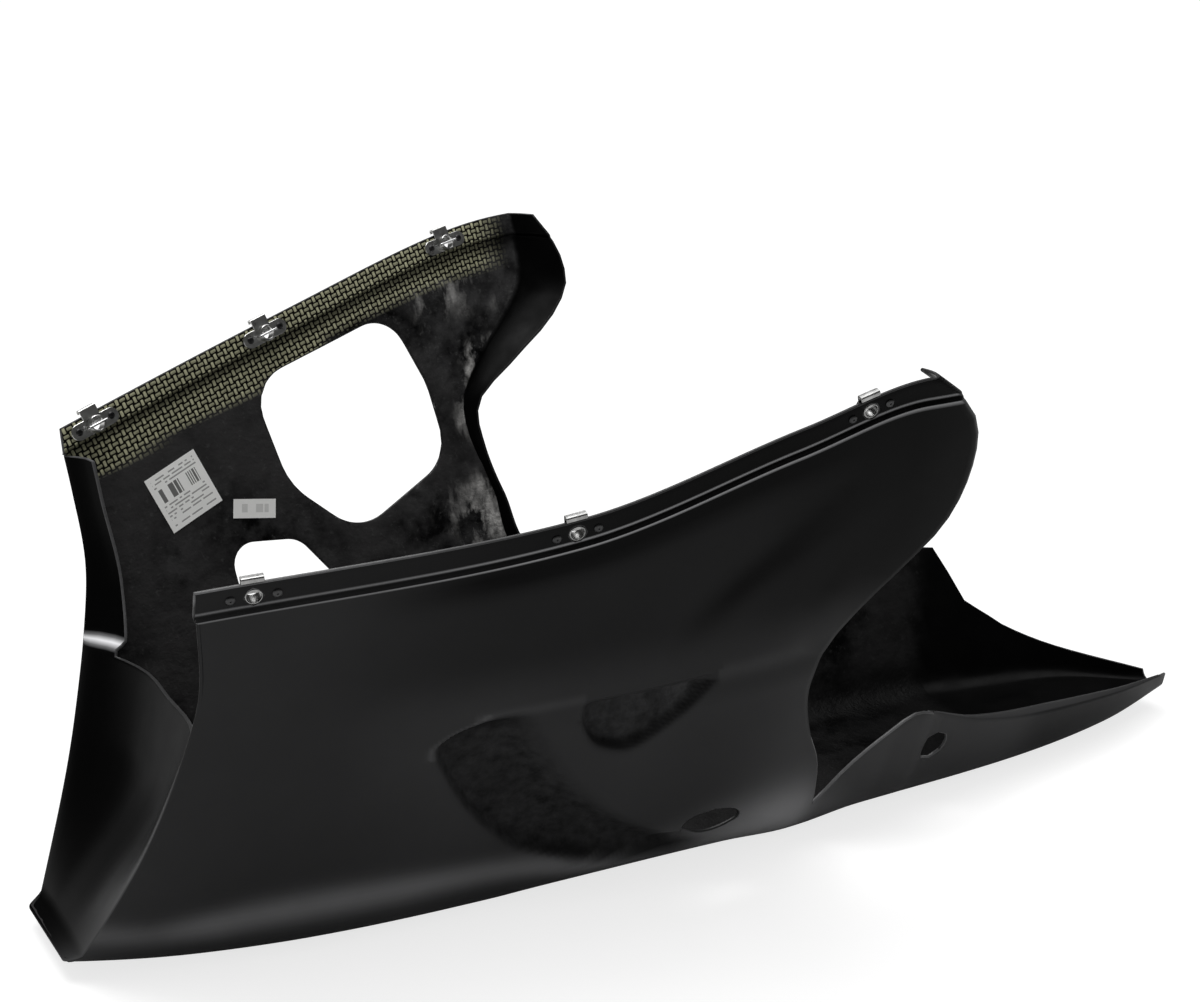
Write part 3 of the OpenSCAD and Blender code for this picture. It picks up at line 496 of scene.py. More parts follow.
# Corners of the windows as x, z and radius, and the round holes of the left side as x, z, width and height
upper_window = round_poly([[203, 302, 26], [317, 338, 26], [341, 285, 40], [350, 232, 30], [270, 191, 34],
                           [222, 231, 50]], 10)
lower_window = round_poly([[170, 198, 14], [222, 193, 20], [257, 150, 20], [230, 120, 20],
                           [180, 132, 24]], 10)
DRAIN, TAIL_HOLE = (410, 50, 42, 17), (612, 51, 23, 23)
STUD_ALONG = {LEFT: [29, 211.68, 391], RIGHT: [26, 156.8, 313]}
STUD_DROP, STUD_HOLE_R, RIVET_X = 8, 5.7, 12.7
HALF = SHEET_T / 2


def window_value(pos, outline):
    """Distance outside the outline, seen along the bike's width, for points of the right wall."""
    q = pos[:, [0, 2]]
    best = np.full(len(q), 1e9)
    inside = np.zeros(len(q), bool)
    n = len(outline)
    for k in range(n):
        a, b = outline[k], outline[(k + 1) % n]
        ab = b - a
        t = np.clip(((q - a) @ ab) / max(1e-9, ab @ ab), 0, 1)
        best = np.minimum(best, np.linalg.norm(q - a - t[:, None] * ab, axis=1))
        cross = ((a[1] > q[:, 1]) != (b[1] > q[:, 1]))
        x = a[0] + (q[:, 1] - a[1]) / (ab[1] if abs(ab[1]) > 1e-9 else 1e-9) * ab[0]
        inside ^= cross & (q[:, 0] < x)
    v = np.where(inside, -best, best) - HALF
    return np.where(pos[:, 1] > 60, v, 1e3)


def hole_value(pos, centre, axis, r, h=None):
    """Distance outside a round hole, or an oval one of half width r and half height h."""
    d = pos - centre
    level = np.array([-axis[1], axis[0], 0]) / math.hypot(axis[0], axis[1])
    h = h or r
    across, down = d @ level / r, d @ np.cross(axis, level) / h
    out = (np.hypot(across, down) - 1) * h
    return np.where(np.linalg.norm(d, axis=1) < r + 30, out, 1e3)


# Frames of the fasteners on the sunk flange, as in the source of the solids
def flange_pt(side, x, drop):
    z = float(wall_h(side, x)) - drop
    return np.array([x, side * (float(face_y(side, x, z)) - JOGGLE_D), z])


def stud_frame(side, n):
    x = (LFX if side == LEFT else RFX) + STUD_ALONG[side][n]
    r = flange_pt(side, x + 12, STUD_DROP) - flange_pt(side, x - 12, STUD_DROP)
    r /= np.linalg.norm(r)
    up = flange_pt(side, x, 0) - flange_pt(side, x, FLANGE_H)
    out = np.cross(r, up) if side == LEFT else np.cross(up, r)
    out /= np.linalg.norm(out)
    return flange_pt(side, x, STUD_DROP), r, out, (np.cross(out, r) if side == LEFT else np.cross(r, out))


STUDS = {(side, n): stud_frame(side, n) for side in (LEFT, RIGHT) for n in range(3)}


def clip(polys, value):
    """Keeps the part of each polygon where the value is above nought, with new points on the edges."""
    global P, D, TAGS
    new_p, new_d, new_t, cache, out = [], [], [], {}, []
    base = len(P)
    for f in polys:
        v = [value[i] for i in f]
        if min(v) > 0:
            out.append(f)
            continue
        if max(v) <= 0:
            continue
        ring = []
        for k in range(len(f)):
            a, b = f[k], f[(k + 1) % len(f)]
            if value[a] > 0:
                ring.append(a)
            if (value[a] > 0) != (value[b] > 0):
                key = (min(a, b), max(a, b))
                if key not in cache:
                    t = value[key[0]] / (value[key[0]] - value[key[1]])
                    cache[key] = base + len(new_p)
                    new_p.append(mix(P[key[0]], P[key[1]], t))
                    new_d.append(mix(D[key[0]], D[key[1]], t))
                    new_t.append(mix(TAGS[key[0]], TAGS[key[1]], t))
                ring.append(cache[key])
        out.append(tuple(ring))
    if new_p:
        P, D, TAGS = np.vstack([P, new_p]), np.vstack([D, new_d]), np.vstack([TAGS, new_t])
    return out


def cut(polys, value_of, room=0.55):
    """Moves the points that lie close to the edge of a cut onto it, then clips."""
    real = P + D
    v = value_of(real)
    close = np.where(np.abs(v) < room)[0]
    if len(close):
        g = np.zeros((len(close), 3))
        for k in range(3):
            step = np.zeros(3)
            step[k] = 0.05
            g[:, k] = (value_of(real[close] + step) - value_of(real[close] - step)) / 0.1
        n = vertex_normals(real, polys)[close]
        g -= n * np.sum(g * n, axis=1, keepdims=True)
        g /= np.maximum(0.2, np.sum(g * g, axis=1, keepdims=True))
        P[close] -= g * v[close][:, None]
        v[close] = 1e-6
    return clip(polys, v)


for outline in (upper_window, lower_window):
    faces = cut(faces, lambda q, o=outline: window_value(q, o))
for x, z, w, h in (DRAIN, TAIL_HOLE):
    centre = np.array([x, -float(face_y(LEFT, x, z)), z])
    axis = out_normal(LEFT, x, z)
    faces = cut(faces, lambda q, c=centre, a=axis, r=w / 2 + HALF, k=h / 2 + HALF: hole_value(q, c, a, r, k))
for p, r, out, up in STUDS.values():
    faces = cut(faces, lambda q, c=p, a=out: hole_value(q, c, a, STUD_HOLE_R), 0.4)

used = sorted({i for f in faces for i in f})
renumber = {v: k for k, v in enumerate(used)}
faces = [tuple(renumber[i] for i in f) for f in faces]
P, D, TAGS = P[used], D[used], TAGS[used]
base_n = vertex_normals(P, faces)
outer = P + D
real_n = vertex_normals(outer, faces)

# Free edges, walked in the sense of the faces, with the direction that points off the sheet
edge_use = {}
for f in faces:
    for u, v in zip(f, f[1:] + f[:1]):
        edge_use[u, v] = True
free = [(u, v) for (u, v) in edge_use if (v, u) not in edge_use]
off = np.zeros_like(outer)
for u, v in free:
    d = np.cross(outer[v] - outer[u], real_n[u] + real_n[v])
    d /= max(1e-9, np.linalg.norm(d))
    off[u] += d
    off[v] += d
rim_ids = sorted({i for e in free for i in e})
length = np.linalg.norm(off, axis=1, keepdims=True)
off = off / np.maximum(length, 1e-9)


# Uneven cloth and resin on the inner face, with even bands beside the flange and under the labels
def label_mask(p):
    near = 0
    for x, z, r in ((142, 239, 36), (192, 219, 24)):
        near = max(near, 1 - float(ease(r * 0.85, r + 6, math.hypot(p[0] - x, p[2] - z))))
    return near if p[1] > 0 else 0


def band_at(p, tag):
    """Share of the bare woven band at a point of the inner face."""
    side = LEFT if p[1] < 0 else RIGHT
    below = float(wall_h(side, p[0])) - p[2]
    if side == RIGHT:
        low = float(along([[60, 40], [187, 42], [250, 37], [305, 30], [357, 34], [434, 30]], p[0]))
    else:
        low = 24
    end = 1 - float(ease(396, 430, p[0])) if side == RIGHT else 1.0
    return (1 - float(ease(low - 1.2, low + 1.2, below))) * end * tag


# Patches of painted glints on the resin: x, z, radius and strength
GLINTS = [(341, 368, 18, 0.6), (355, 345, 24, 0.8), (382, 349, 22, 0.6), (403, 370, 14, 0.5),
          (387, 300, 17, 1.4), (374, 276, 15, 1.0), (373, 256, 17, 0.9), (380, 197, 28, 0.9),
          (367, 178, 22, 1.0), (349, 195, 24, 0.5), (389, 178, 15, 0.8), (415, 339, 12, 0.4)]

# Bare weave, rough resin, above 1 where glints are painted, and the height of its lumps
N = len(P)
band, rough, lump = np.zeros(N), np.zeros(N), np.zeros(N)
for i in range(N):
    p, tag = P[i], TAGS[i][0]
    band[i] = band_at(p, tag)
    behind = 1 - float(ease(735, 752, p[0] - 0.28 * (p[2] - 40)))
    rough[i] = tag * behind
    if p[1] > 0:
        for gx, gz, gr, amount in GLINTS:
            far = math.hypot(p[0] - gx, p[2] - gz)
            rough[i] += tag * behind * amount * (1 - float(ease(gr * 0.4, gr, far)))
    quiet = (1 - band[i]) * (1 - label_mask(p)) * tag * behind
    if quiet > 0.02:
        v = Vector(p)
        big = noise.fractal(v / 34, 1.0, 2.1, 3)
        fold = 1 - abs(noise.noise(v / 17 + Vector((7, 3, 1)))) * 3
        ear = float(ease(330, 365, p[0])) * float(ease(190, 230, p[2])) if p[1] > 0 else 0.0
        lump[i] = quiet * ((0.5 + 0.9 * ear) * big + (0.35 + 1.5 * ear) * max(0.0, fold) ** 2)
lump[rim_ids] = 0

# Build the sheet: outer face, inner face and half-round edges
K = 5
outer_q = outer.copy()
outer_q[rim_ids] -= off[rim_ids] * 0.35
inner = outer - base_n * SHEET_T - base_n * lump[:, None]
inner[rim_ids] = outer_q[rim_ids] - base_n[rim_ids] * SHEET_T
edge_id = {}
extra = []
for i in rim_ids:
    for k in range(1, K):
        a = math.pi * k / K
        edge_id[i, k] = 2 * N + len(extra)
        extra.append(outer_q[i] - base_n[i] * SHEET_T * (1 - math.cos(a)) / 2
                     + off[i] * HALF * 0.8 * math.sin(a))
    edge_id[i, 0], edge_id[i, K] = i, N + i
all_verts = np.vstack([outer_q, inner, np.array(extra)])
mesh_faces = faces + [tuple(N + i for i in reversed(f)) for f in faces]
for u, v in free:
    for k in range(K):
        mesh_faces.append((edge_id[v, k], edge_id[u, k], edge_id[u, k + 1], edge_id[v, k + 1]))


def to_world(p):
    return (np.asarray(p, float) - np.array([ORIGIN_X, 0, 0])) * MM


def make_object(name, verts, faces, smooth=True):
    me = bpy.data.meshes.new(name)
    me.from_pydata([tuple(v) for v in verts], [], [tuple(f) for f in faces])
    me.validate()
    me.update()
    ob = bpy.data.objects.new(name, me)
    bpy.context.scene.collection.objects.link(ob)
    if smooth:
        me.polygons.foreach_set("use_smooth", [True] * len(me.polygons))
    return ob


shell = make_object("shell_moulding", to_world(all_verts), mesh_faces)
me = shell.data

# Brightness per unit of reflectance, what the floor adds, and rows from the dam's top to the ledge's light
FACE_LIGHT, FLOOR_SHEEN, LEDGE_UP = 0.64, 0.0035, 0.5


def bell(x, centre, width):
    return np.exp(-((x - centre) / width) ** 2)


def outer_tone():
    """Reflectance of the outer face, laid on by place with painted highlights and painted shade, and how
    mottled it is.
    """
    x, y, z = P.T
    kind, j, c = TAGS.T[1:]
    zz = z - keel_z(x)
    left = y < 0
    top, low, boss = along(style_curve, x), along(pocket_low_curve, x), along(boss_front_curve, z)
    front = along(pocket_front_curve, z)
    span = (x > 200) & (x < 430) & left & (z < 200)
    # Satin grey below the styling line, darker above it and towards the rear ear as painted shade
    painted_shade_upper = along([[0, 0.0188], [130, 0.0192], [215, 0.0132], [300, 0.0120], [400, 0.0104], [440, 0.0072],
                   [480, 0.0048], [540, 0.0045]], x)
    lower = along([[0, 0.0182], [150, 0.0188], [220, 0.0232], [300, 0.0215], [370, 0.0190], [420, 0.0172],
                   [480, 0.0195]], x)
    level = mix(lower, painted_shade_upper, ease(top + 3, top + 44, z))
    # Darker in a band just below the flange's step, and in two diagonal streaks on the upper rear
    level = level * (1 - 0.8 * ease(150, 260, x) * bell(line_z(LEFT, x) - z, 7, 11))
    streak = z - 240 - 0.75 * (x - 410)
    level = level * (1 - 0.62 * bell(streak, 0, 15) * ease(350, 400, x) * (z > top + 10))
    level = level * (1 - 0.3 * bell(streak, -62, 13) * ease(440, 470, x) * (z > top + 10))
    level = mix(level, 0.0225 - 0.011 * ease(690, 740, x), ease(505, 530, x) * left * (z < 130))
    # The wanted brightness is turned into reflectance here, so the light and shade in it are painted
    tone = np.maximum(level - FLOOR_SHEEN, 0.0006) / FACE_LIGHT
    tone = tone + 0.006 * np.where(left & (x < 560), bulge(x, z), 0)
    # Painted highlight: soft light band along the bilge, standing in for the floor's reflection
    painted_bilge_highlight = along([[50, 0.05], [90, 0.10], [330, 0.10], [390, 0.06], [420, 0.11], [455, 0.17], [490, 0.17],
                   [515, 0.05], [620, 0.02], [700, 0.012], [900, 0.02]], x)
    centre = along([[50, 26], [130, 37], [230, 36], [290, 34], [340, 28], [400, 34], [450, 30], [500, 24],
                    [560, 8], [900, 6]], x)
    wide = along([[50, 9], [130, 12], [330, 10], [400, 20], [450, 28], [500, 28], [560, 14], [900, 10]], x)
    tone = tone + np.where(left & (kind < 2), painted_bilge_highlight * bell(zz, centre, wide), 0)
    # Recesses: mottled floors, painted shade on their slopes and painted highlight lines along their edges
    inside = ease(front, front + 13, x) * (1 - ease(boss - 15, boss + 15, x))
    tone = mix(tone, 0.0190, np.where(span, pocket(x, z), 0))
    # Painted shade on the pocket's top slope and along its low edge
    tone = mix(tone, 0.0105, np.where(span, inside * ease(top - 17, top - 9, z) * (z < top + 0.5), 0))
    tone = mix(tone, 0.0105, np.where(span & (z < 90), inside * bell(z, low + 6, 7) * ease(250, 300, x), 0))
    leaf_v = np.where(span, leaf(x, z), 0)
    tone = mix(tone, 0.0240 + 0.0240 * ease(345, 385, x), leaf_v)
    # Painted shade on the leaf's lower slope
    edge = np.where(span & (x > 303) & (x < 397), bell(z, along(leaf_low_curve, x) + 2.5, 4.0), 0)
    tone = mix(tone, 0.0060, 0.8 * edge * (z < top - 5))
    # Painted highlight lines along the pocket's front edge and beside the styling line
    tone = tone + 0.030 * np.where(span & (z > 135) & (z < 163) & (x < 250), bell(x, front, 2.6), 0)
    tone = tone + 0.014 * np.where(left & (x > 236) & (x < 305), bell(z, top + 1, 3.5), 0)
    tone = tone + 0.014 * np.where(left & (x > 395), bell(z, top - 2, 6) * (1 - ease(470, 505, x)), 0)
    # Sunk flange, darker towards the rear, with two painted highlight lines on the edges of its step
    step_highlight = along([[60, 0.20], [180, 0.22], [290, 0.34], [400, 0.34], [505, 0.26]], x) * left
    tone = np.where(j > 22.02, along([[60, 0.018], [180, 0.012], [300, 0.0045], [400, 0.0020]], x), tone)
    tone = np.where((np.abs(j - 22) < 0.01) & (kind < 2), step_highlight, tone)
    tone = np.where((np.abs(j - 23.08) < 0.01) & (kind < 2), step_highlight * 0.85, tone)
    # The dam is black beside the right wall, with a painted highlight beside the left one
    dam_tone_and_highlight = 0.0012 + 0.055 * (1 - c / KEEL_COLS) ** 5 * (1 - 0.85 * ease(118, 165, z))
    tone = np.where(kind == 1, dam_tone_and_highlight, tone)
    # Painted highlight line on the ledge at the dam's foot
    ledge_highlight = bell(j, DAM_ROW + LEDGE_UP, 0.13) * ease(5.6, 6.1, c) * (1 - ease(7.72, 7.98, c))
    tone = np.where(kind == 1, tone + 0.9 * ledge_highlight, tone)
    tone = np.where(kind == 2, 0.004, tone)
    tone = np.where(kind == 3, 0.03, tone)
    mottle = np.where(span, np.clip(pocket(x, z) * 1.2 + leaf_v * 1.2, 0, 1), 0)
    return tone, mottle


def rim_highlight_tone(i):
    """Reflectance of the trimmed edge at a point of the rim, with painted highlight lines along the near
    edges.
    """
    x, y, z = P[i]
    kind, j, c = TAGS[i][1:]
    if kind == 1 or (c == KEEL_COLS and x < 75 and z < 290):
        return 0.07 if j > DAM_ROW + 0.3 else 0.035
    if y < 0 and x > 440 and j < 22:
        return 0.06 * (1 - float(ease(150, 200, z))) + 0.05 if x < 575 and z < 345 else 0.055
    if y < 0 and j > 23.5:
        return mix(0.13, 0.03, float(ease(80, 300, x)))
    if y < 0 and 588 < x:
        return 0.05
    return 0.012


# Painted shade on the inner face: darker under the flange, on the ears, low down and in the tail
tone_out, mottle = outer_tone()
# Painted highlight lines along the trimmed edges
rim_highlight_values = np.zeros(N)
for i in rim_ids:
    rim_highlight_values[i] = rim_highlight_tone(i)
inner_painted_shade = np.ones(N)
inner_painted_shade = np.where((TAGS[:, 2] > 21.9) & (TAGS[:, 2] < 23.05), 0.35, inner_painted_shade)
inner_painted_shade = np.where(TAGS[:, 1] == 2, 0.15, inner_painted_shade)
inner_painted_shade *= mix(1, 0.3, (1 - ease(10, 40, P[:, 2] - keel_z(P[:, 0]))) * ease(300, 420, P[:, 0]))
inner_painted_shade *= mix(1, 0.4, ease(560, 640, P[:, 0]))
repeat = [i for i in rim_ids for _ in range(1, K)]
layers = {"band": (band, band, band), "rough": (rough, rough, rough), "tone": (tone_out, inner_painted_shade, tone_out),
          "mottle": (mottle, mottle * 0, mottle * 0), "rim": (rim_highlight_values, rim_highlight_values, rim_highlight_values)}
for name, (out_v, in_v, rim_v) in layers.items():
    layer = me.attributes.new(name, "FLOAT", "POINT")
    layer.data.foreach_set("value", np.concatenate([out_v, in_v, rim_v[repeat]]).astype(np.float32))

# Weave coordinates in millimetres: along the flange and down from its top edge
reach = {}
for side in (LEFT, RIGHT):
    xs = np.arange(0, 920, 2.0)
    h = wall_h(side, xs)
    w = wall_w(side, xs)
    step = np.sqrt(np.diff(xs) ** 2 + np.diff(h) ** 2 + np.diff(w) ** 2)
    reach[side] = (xs, np.concatenate([[0], np.cumsum(step)]))


def weave_uv(p):
    side = LEFT if p[1] < 0 else RIGHT
    xs, s = reach[side]
    slope = float(wall_h(side, p[0] + 2) - wall_h(side, p[0] - 2)) / 4
    below = float(wall_h(side, p[0])) - p[2]
    tilt = math.cos(math.atan(slope))
    return float(np.interp(p[0], xs, s)) - below * tilt * slope, below * tilt * 1.04


uv_of = np.array([weave_uv(p) for p in all_verts])
uv = me.uv_layers.new(name="weave")
loops = np.zeros(len(me.loops), int)
me.loops.foreach_get("vertex_index", loops)
uv.data.foreach_set("uv", (uv_of[loops] * 0.01).astype(np.float32).ravel())


# Materials, from helpers that work in the tree of the sockets they are given
def new_material(name):
    m = bpy.data.materials.new(name)
    m.use_nodes = True
    nt = m.node_tree
    return m, nt, nt.nodes["Principled BSDF"]


def link(a, b):
    b.id_data.links.new(a, b)


def fill(socket, v):
    """Links a socket to the input, or sets the input to a number or colour."""
    if hasattr(v, "links"):
        link(v, socket)
    else:
        socket.default_value = (*v, 1) if isinstance(v, tuple) else v


def maths(op, *values):
    """Math node in the tree of the sockets among its values."""
    tree = next(v for v in values if hasattr(v, "links")).id_data
    n = tree.nodes.new("ShaderNodeMath")
    n.operation = op
    for k, v in enumerate(values):
        fill(n.inputs[k], v)
    return n.outputs[0]


def times(a, b):
    return maths("MULTIPLY", a, b)


def plus(a, b):
    return maths("ADD", a, b)


def minus(a, b):
    return maths("SUBTRACT", a, b)


def scaled(a, factor, base):
    return maths("MULTIPLY_ADD", a, factor, base)


def noise_node(coord, scale, detail=3, rough=0.55):
    n = coord.id_data.nodes.new("ShaderNodeTexNoise")
    n.inputs["Scale"].default_value = scale
    n.inputs["Detail"].default_value = detail
    n.inputs["Roughness"].default_value = rough
    link(coord, n.inputs["Vector"])
    return n.outputs["Fac"]


def ramp(fac, low, high):
    """Rises from black at low to white at high."""
    n = fac.id_data.nodes.new("ShaderNodeValToRGB")
    for e, pos, v in zip(n.color_ramp.elements, (low, high), (0, 1)):
        e.position = pos
        e.color = (v, v, v, 1)
    link(fac, n.inputs["Fac"])
    return n.outputs["Color"]


def mix_color(fac, a, b):
    n = fac.id_data.nodes.new("ShaderNodeMix")
    n.data_type = "RGBA"
    link(fac, n.inputs["Factor"])
    for key, v in (("A", a), ("B", b)):
        fill([s for s in n.inputs if s.name == key and s.type == "RGBA"][0], v)
    return [s for s in n.outputs if s.type == "RGBA"][0]


def bump(height, strength, distance, normal=None):
    n = height.id_data.nodes.new("ShaderNodeBump")
    n.inputs["Strength"].default_value = strength
    n.inputs["Distance"].default_value = distance
    link(height, n.inputs["Height"])
    if normal is not None:
        link(normal, n.inputs["Normal"])
    return n.outputs["Normal"]


def coords(nt):
    return nt.nodes.new("ShaderNodeTexCoord").outputs["Object"]


def attribute(nt, name):
    n = nt.nodes.new("ShaderNodeAttribute")
    n.attribute_name = name
    return n.outputs["Fac"]


def grey(value):
    """Colour of the given brightness, a touch cool."""
    return mix_color(value, (0, 0, 0), (1.0, 1.0, 1.02))


def uv_axes(nt, name):
    """A named UV map, the input of a node that splits a vector, and the two axes that it gives."""
    uvn = nt.nodes.new("ShaderNodeUVMap")
    uvn.uv_map = name
    sep = nt.nodes.new("ShaderNodeSeparateXYZ")
    return uvn.outputs["UV"], sep.inputs[0], sep.outputs[0], sep.outputs[1]


# Low, so that the painted tones, with their painted highlights and shade, control the look and not the
# reflection of the floor
SPECULAR = 0.05


def gel_coat():
    """Satin black outer face with faint orange peel, haze and fine scuffs, mottled on the recess floors, its
    brightness from the tone attribute with its painted highlights and shade.
    """
    m, nt, b = new_material("gel_coat")
    co = coords(nt)
    haze, scuff = noise_node(co, 9, 4), noise_node(co, 60, 6, 0.7)
    blot, grain = noise_node(co, 120, 5, 0.65), noise_node(co, 900, 2)
    spots = attribute(nt, "mottle")
    level = scaled(haze, 0.5, 0.75)
    patch = scaled(blot, 2.6, -0.3)
    level = times(level, plus(minus(1.0, spots), times(spots, patch)))
    link(grey(times(level, attribute(nt, "tone"))), b.inputs["Base Color"])
    r = scaled(scuff, 0.10, 0.36)
    link(scaled(spots, 0.25, r), b.inputs["Roughness"])
    b.inputs["Specular IOR Level"].default_value = SPECULAR
    n = bump(grain, 0.04, 0.0002)
    n = bump(times(blot, spots), 0.6, 0.0014, n)
    link(n, b.inputs["Normal"])
    return m


WEAVE_PITCH = 4.2


def laminate():
    """Inner face: rough resin over cloth, with a bare woven band beside the flange, painted glints on the
    resin and painted shade from the tone attribute.
    """
    m, nt, b = new_material("inner_laminate")
    co = coords(nt)
    band_v, rough_and_glint_v, painted_shade_v = attribute(nt, "band"), attribute(nt, "rough"), attribute(nt, "tone")
    cloth, sep_in, across, down = uv_axes(nt, "weave")
    wobble = nt.nodes.new("ShaderNodeTexNoise")
    wobble.inputs["Scale"].default_value = 90
    link(co, wobble.inputs["Vector"])
    shift = nt.nodes.new("ShaderNodeVectorMath")
    shift.operation = "MULTIPLY_ADD"
    link(wobble.outputs["Color"], shift.inputs[0])
    shift.inputs[1].default_value = (0.008, 0.008, 0)
    link(cloth, shift.inputs[2])
    link(shift.outputs[0], sep_in)
    u, v = (plus(times(axis, 100 / WEAVE_PITCH), 400.0) for axis in (across, down))
    fu, fv = maths("FRACT", u), maths("FRACT", v)
    over = maths("MODULO", plus(maths("FLOOR", u), maths("FLOOR", v)), 2.0)
    under = minus(1.0, over)

    def yarn(across, lengthwise):
        """Height of a round yarn across its width, falling off where it dips under the next one."""
        side = minus(1.0, times(maths("ABSOLUTE", minus(across, 0.5)), 3.35))
        end = maths("POWER", maths("SINE", times(lengthwise, math.pi)), 0.22)
        return times(maths("POWER", maths("MAXIMUM", side, 0.0), 0.5), end)

    height = plus(times(over, yarn(fu, fv)), times(under, yarn(fv, fu)))
    strands, tint = noise_node(co, 800, 3), noise_node(co, 24, 3)
    aramid = mix_color(strands, (0.20, 0.197, 0.11), (0.80, 0.79, 0.55))
    aramid = mix_color(times(tint, 0.5), aramid, (0.12, 0.12, 0.075))
    aramid = mix_color(times(under, 0.3), aramid, (0.04, 0.04, 0.03))
    # Black resin between the yarns, and painted shade down their sides and ends
    woven = mix_color(ramp(height, 0.12, 0.6), (0.003, 0.003, 0.0025), aramid)
    wide, blot, speck = noise_node(co, 11, 3), noise_node(co, 42, 5, 0.62), noise_node(co, 210, 4, 0.7)
    resin = mix_color(ramp(blot, 0.37, 0.64), (0.003, 0.003, 0.0032), (0.038, 0.0376, 0.0382))
    resin = mix_color(ramp(wide, 0.42, 0.62), resin, (0.034, 0.0332, 0.0336))
    resin = mix_color(ramp(speck, 0.58, 0.74), resin, (0.052, 0.052, 0.052))
    drawn = nt.nodes.new("ShaderNodeMapping")
    drawn.inputs["Rotation"].default_value = (0, math.radians(28), 0)
    drawn.inputs["Scale"].default_value = (1.7, 1.0, 0.75)
    link(co, drawn.inputs["Vector"])
    fine = times(noise_node(drawn.outputs[0], 150, 3, 0.6), 0.28)
    patch = scaled(noise_node(drawn.outputs[0], 42, 3, 0.5), 0.72, fine)
    # Painted glints where the rough attribute is above 1
    painted_glint = times(maths("MAXIMUM", minus(rough_and_glint_v, 1.0), 0.0), ramp(patch, 0.47, 0.66))
    resin = mix_color(painted_glint, resin, (0.34, 0.335, 0.325))
    smooth = mix_color(blot, (0.0018, 0.0018, 0.002), (0.0034, 0.0034, 0.0036))
    ground = mix_color(maths("MINIMUM", rough_and_glint_v, 1.0), smooth, resin)
    ground = mix_color(band_v, ground, woven)
    # The tone attribute paints shade on the inner face, down to near black
    link(mix_color(painted_shade_v, (0.001, 0.001, 0.001), ground), b.inputs["Base Color"])
    base_r = scaled(blot, 0.55, 0.10)
    link(plus(base_r, times(band_v, 0.2)), b.inputs["Roughness"])
    b.inputs["Specular IOR Level"].default_value = SPECULAR
    n1 = bump(times(height, band_v), 0.6, 0.0006)
    amount = times(rough_and_glint_v, minus(1.0, band_v))
    n2 = bump(times(noise_node(co, 95, 5, 0.65), amount), 0.7, 0.0022, n1)
    n3 = bump(times(noise_node(co, 420, 3), amount), 0.35, 0.0005, n2)
    link(n3, b.inputs["Normal"])
    return m


def edge_with_painted_highlights():
    """Trimmed edge, with painted highlight lines from the rim attribute."""
    m, nt, b = new_material("trimmed_edge")
    co = coords(nt)
    level = scaled(noise_node(co, 240, 3), 0.7, 0.65)
    link(grey(times(level, attribute(nt, "rim"))), b.inputs["Base Color"])
    b.inputs["Roughness"].default_value = 0.34
    b.inputs["Specular IOR Level"].default_value = 0.3
    link(bump(noise_node(co, 500, 2), 0.15, 0.0003), b.inputs["Normal"])
    return m


def metal(name, low, high, rough, scale=500, scratch=0.25):
    """Metal with stains and fine scratches."""
    m, nt, b = new_material(name)
    co = coords(nt)
    stain = noise_node(co, 160, 4, 0.6)
    link(mix_color(stain, low, high), b.inputs["Base Color"])
    b.inputs["Metallic"].default_value = 1.0
    link(scaled(stain, 0.2, rough), b.inputs["Roughness"])
    link(bump(noise_node(co, scale, 3), scratch, 0.0002), b.inputs["Normal"])
    return m


def label_paper(name, rows, columns, field, stroke, ink):
    """White paper with a field of bars and short grey strokes, drawn from the label's own coordinates."""
    m, nt, b = new_material(name)
    co = coords(nt)
    face, sep_in, u, v = uv_axes(nt, "print")
    link(face, sep_in)

    def within(x, low, high):
        return times(maths("GREATER_THAN", x, low), maths("LESS_THAN", x, high))

    def chance(a, c, share):
        n = nt.nodes.new("ShaderNodeTexWhiteNoise")
        n.noise_dimensions = "2D"
        combine = nt.nodes.new("ShaderNodeCombineXYZ")
        link(a, combine.inputs[0])
        link(c, combine.inputs[1])
        link(combine.outputs[0], n.inputs["Vector"])
        return maths("LESS_THAN", n.outputs["Value"], share)

    row = maths("FLOOR", times(v, rows))
    bar = chance(maths("FLOOR", times(u, columns)), times(u, 0.0), 0.5)
    bars = times(bar, times(within(u, 0.12, 0.86), within(v, field[0], field[1])))
    line = chance(maths("FLOOR", times(u, columns * 0.45)), row, 0.62)
    line = times(line, within(maths("FRACT", times(v, rows)), 0.3, 0.72))
    rest = minus(within(v, 0.07, 0.94), within(v, field[0] - 0.03, field[1] + 0.03))
    line = times(times(line, rest), times(chance(row, row, stroke), within(u, 0.08, 0.92)))
    mark = maths("MAXIMUM", bars, times(line, 0.75))
    paper = mix_color(noise_node(co, 60, 3), (0.84, 0.84, 0.82), (0.94, 0.94, 0.925))
    link(mix_color(times(mark, ink), paper, (0.03, 0.03, 0.03)), b.inputs["Base Color"])
    b.inputs["Roughness"].default_value = 0.5
    link(bump(noise_node(co, 300, 3), 0.1, 0.0002), b.inputs["Normal"])
    return m


M_OUT, M_IN, M_EDGE = gel_coat(), laminate(), edge_with_painted_highlights()
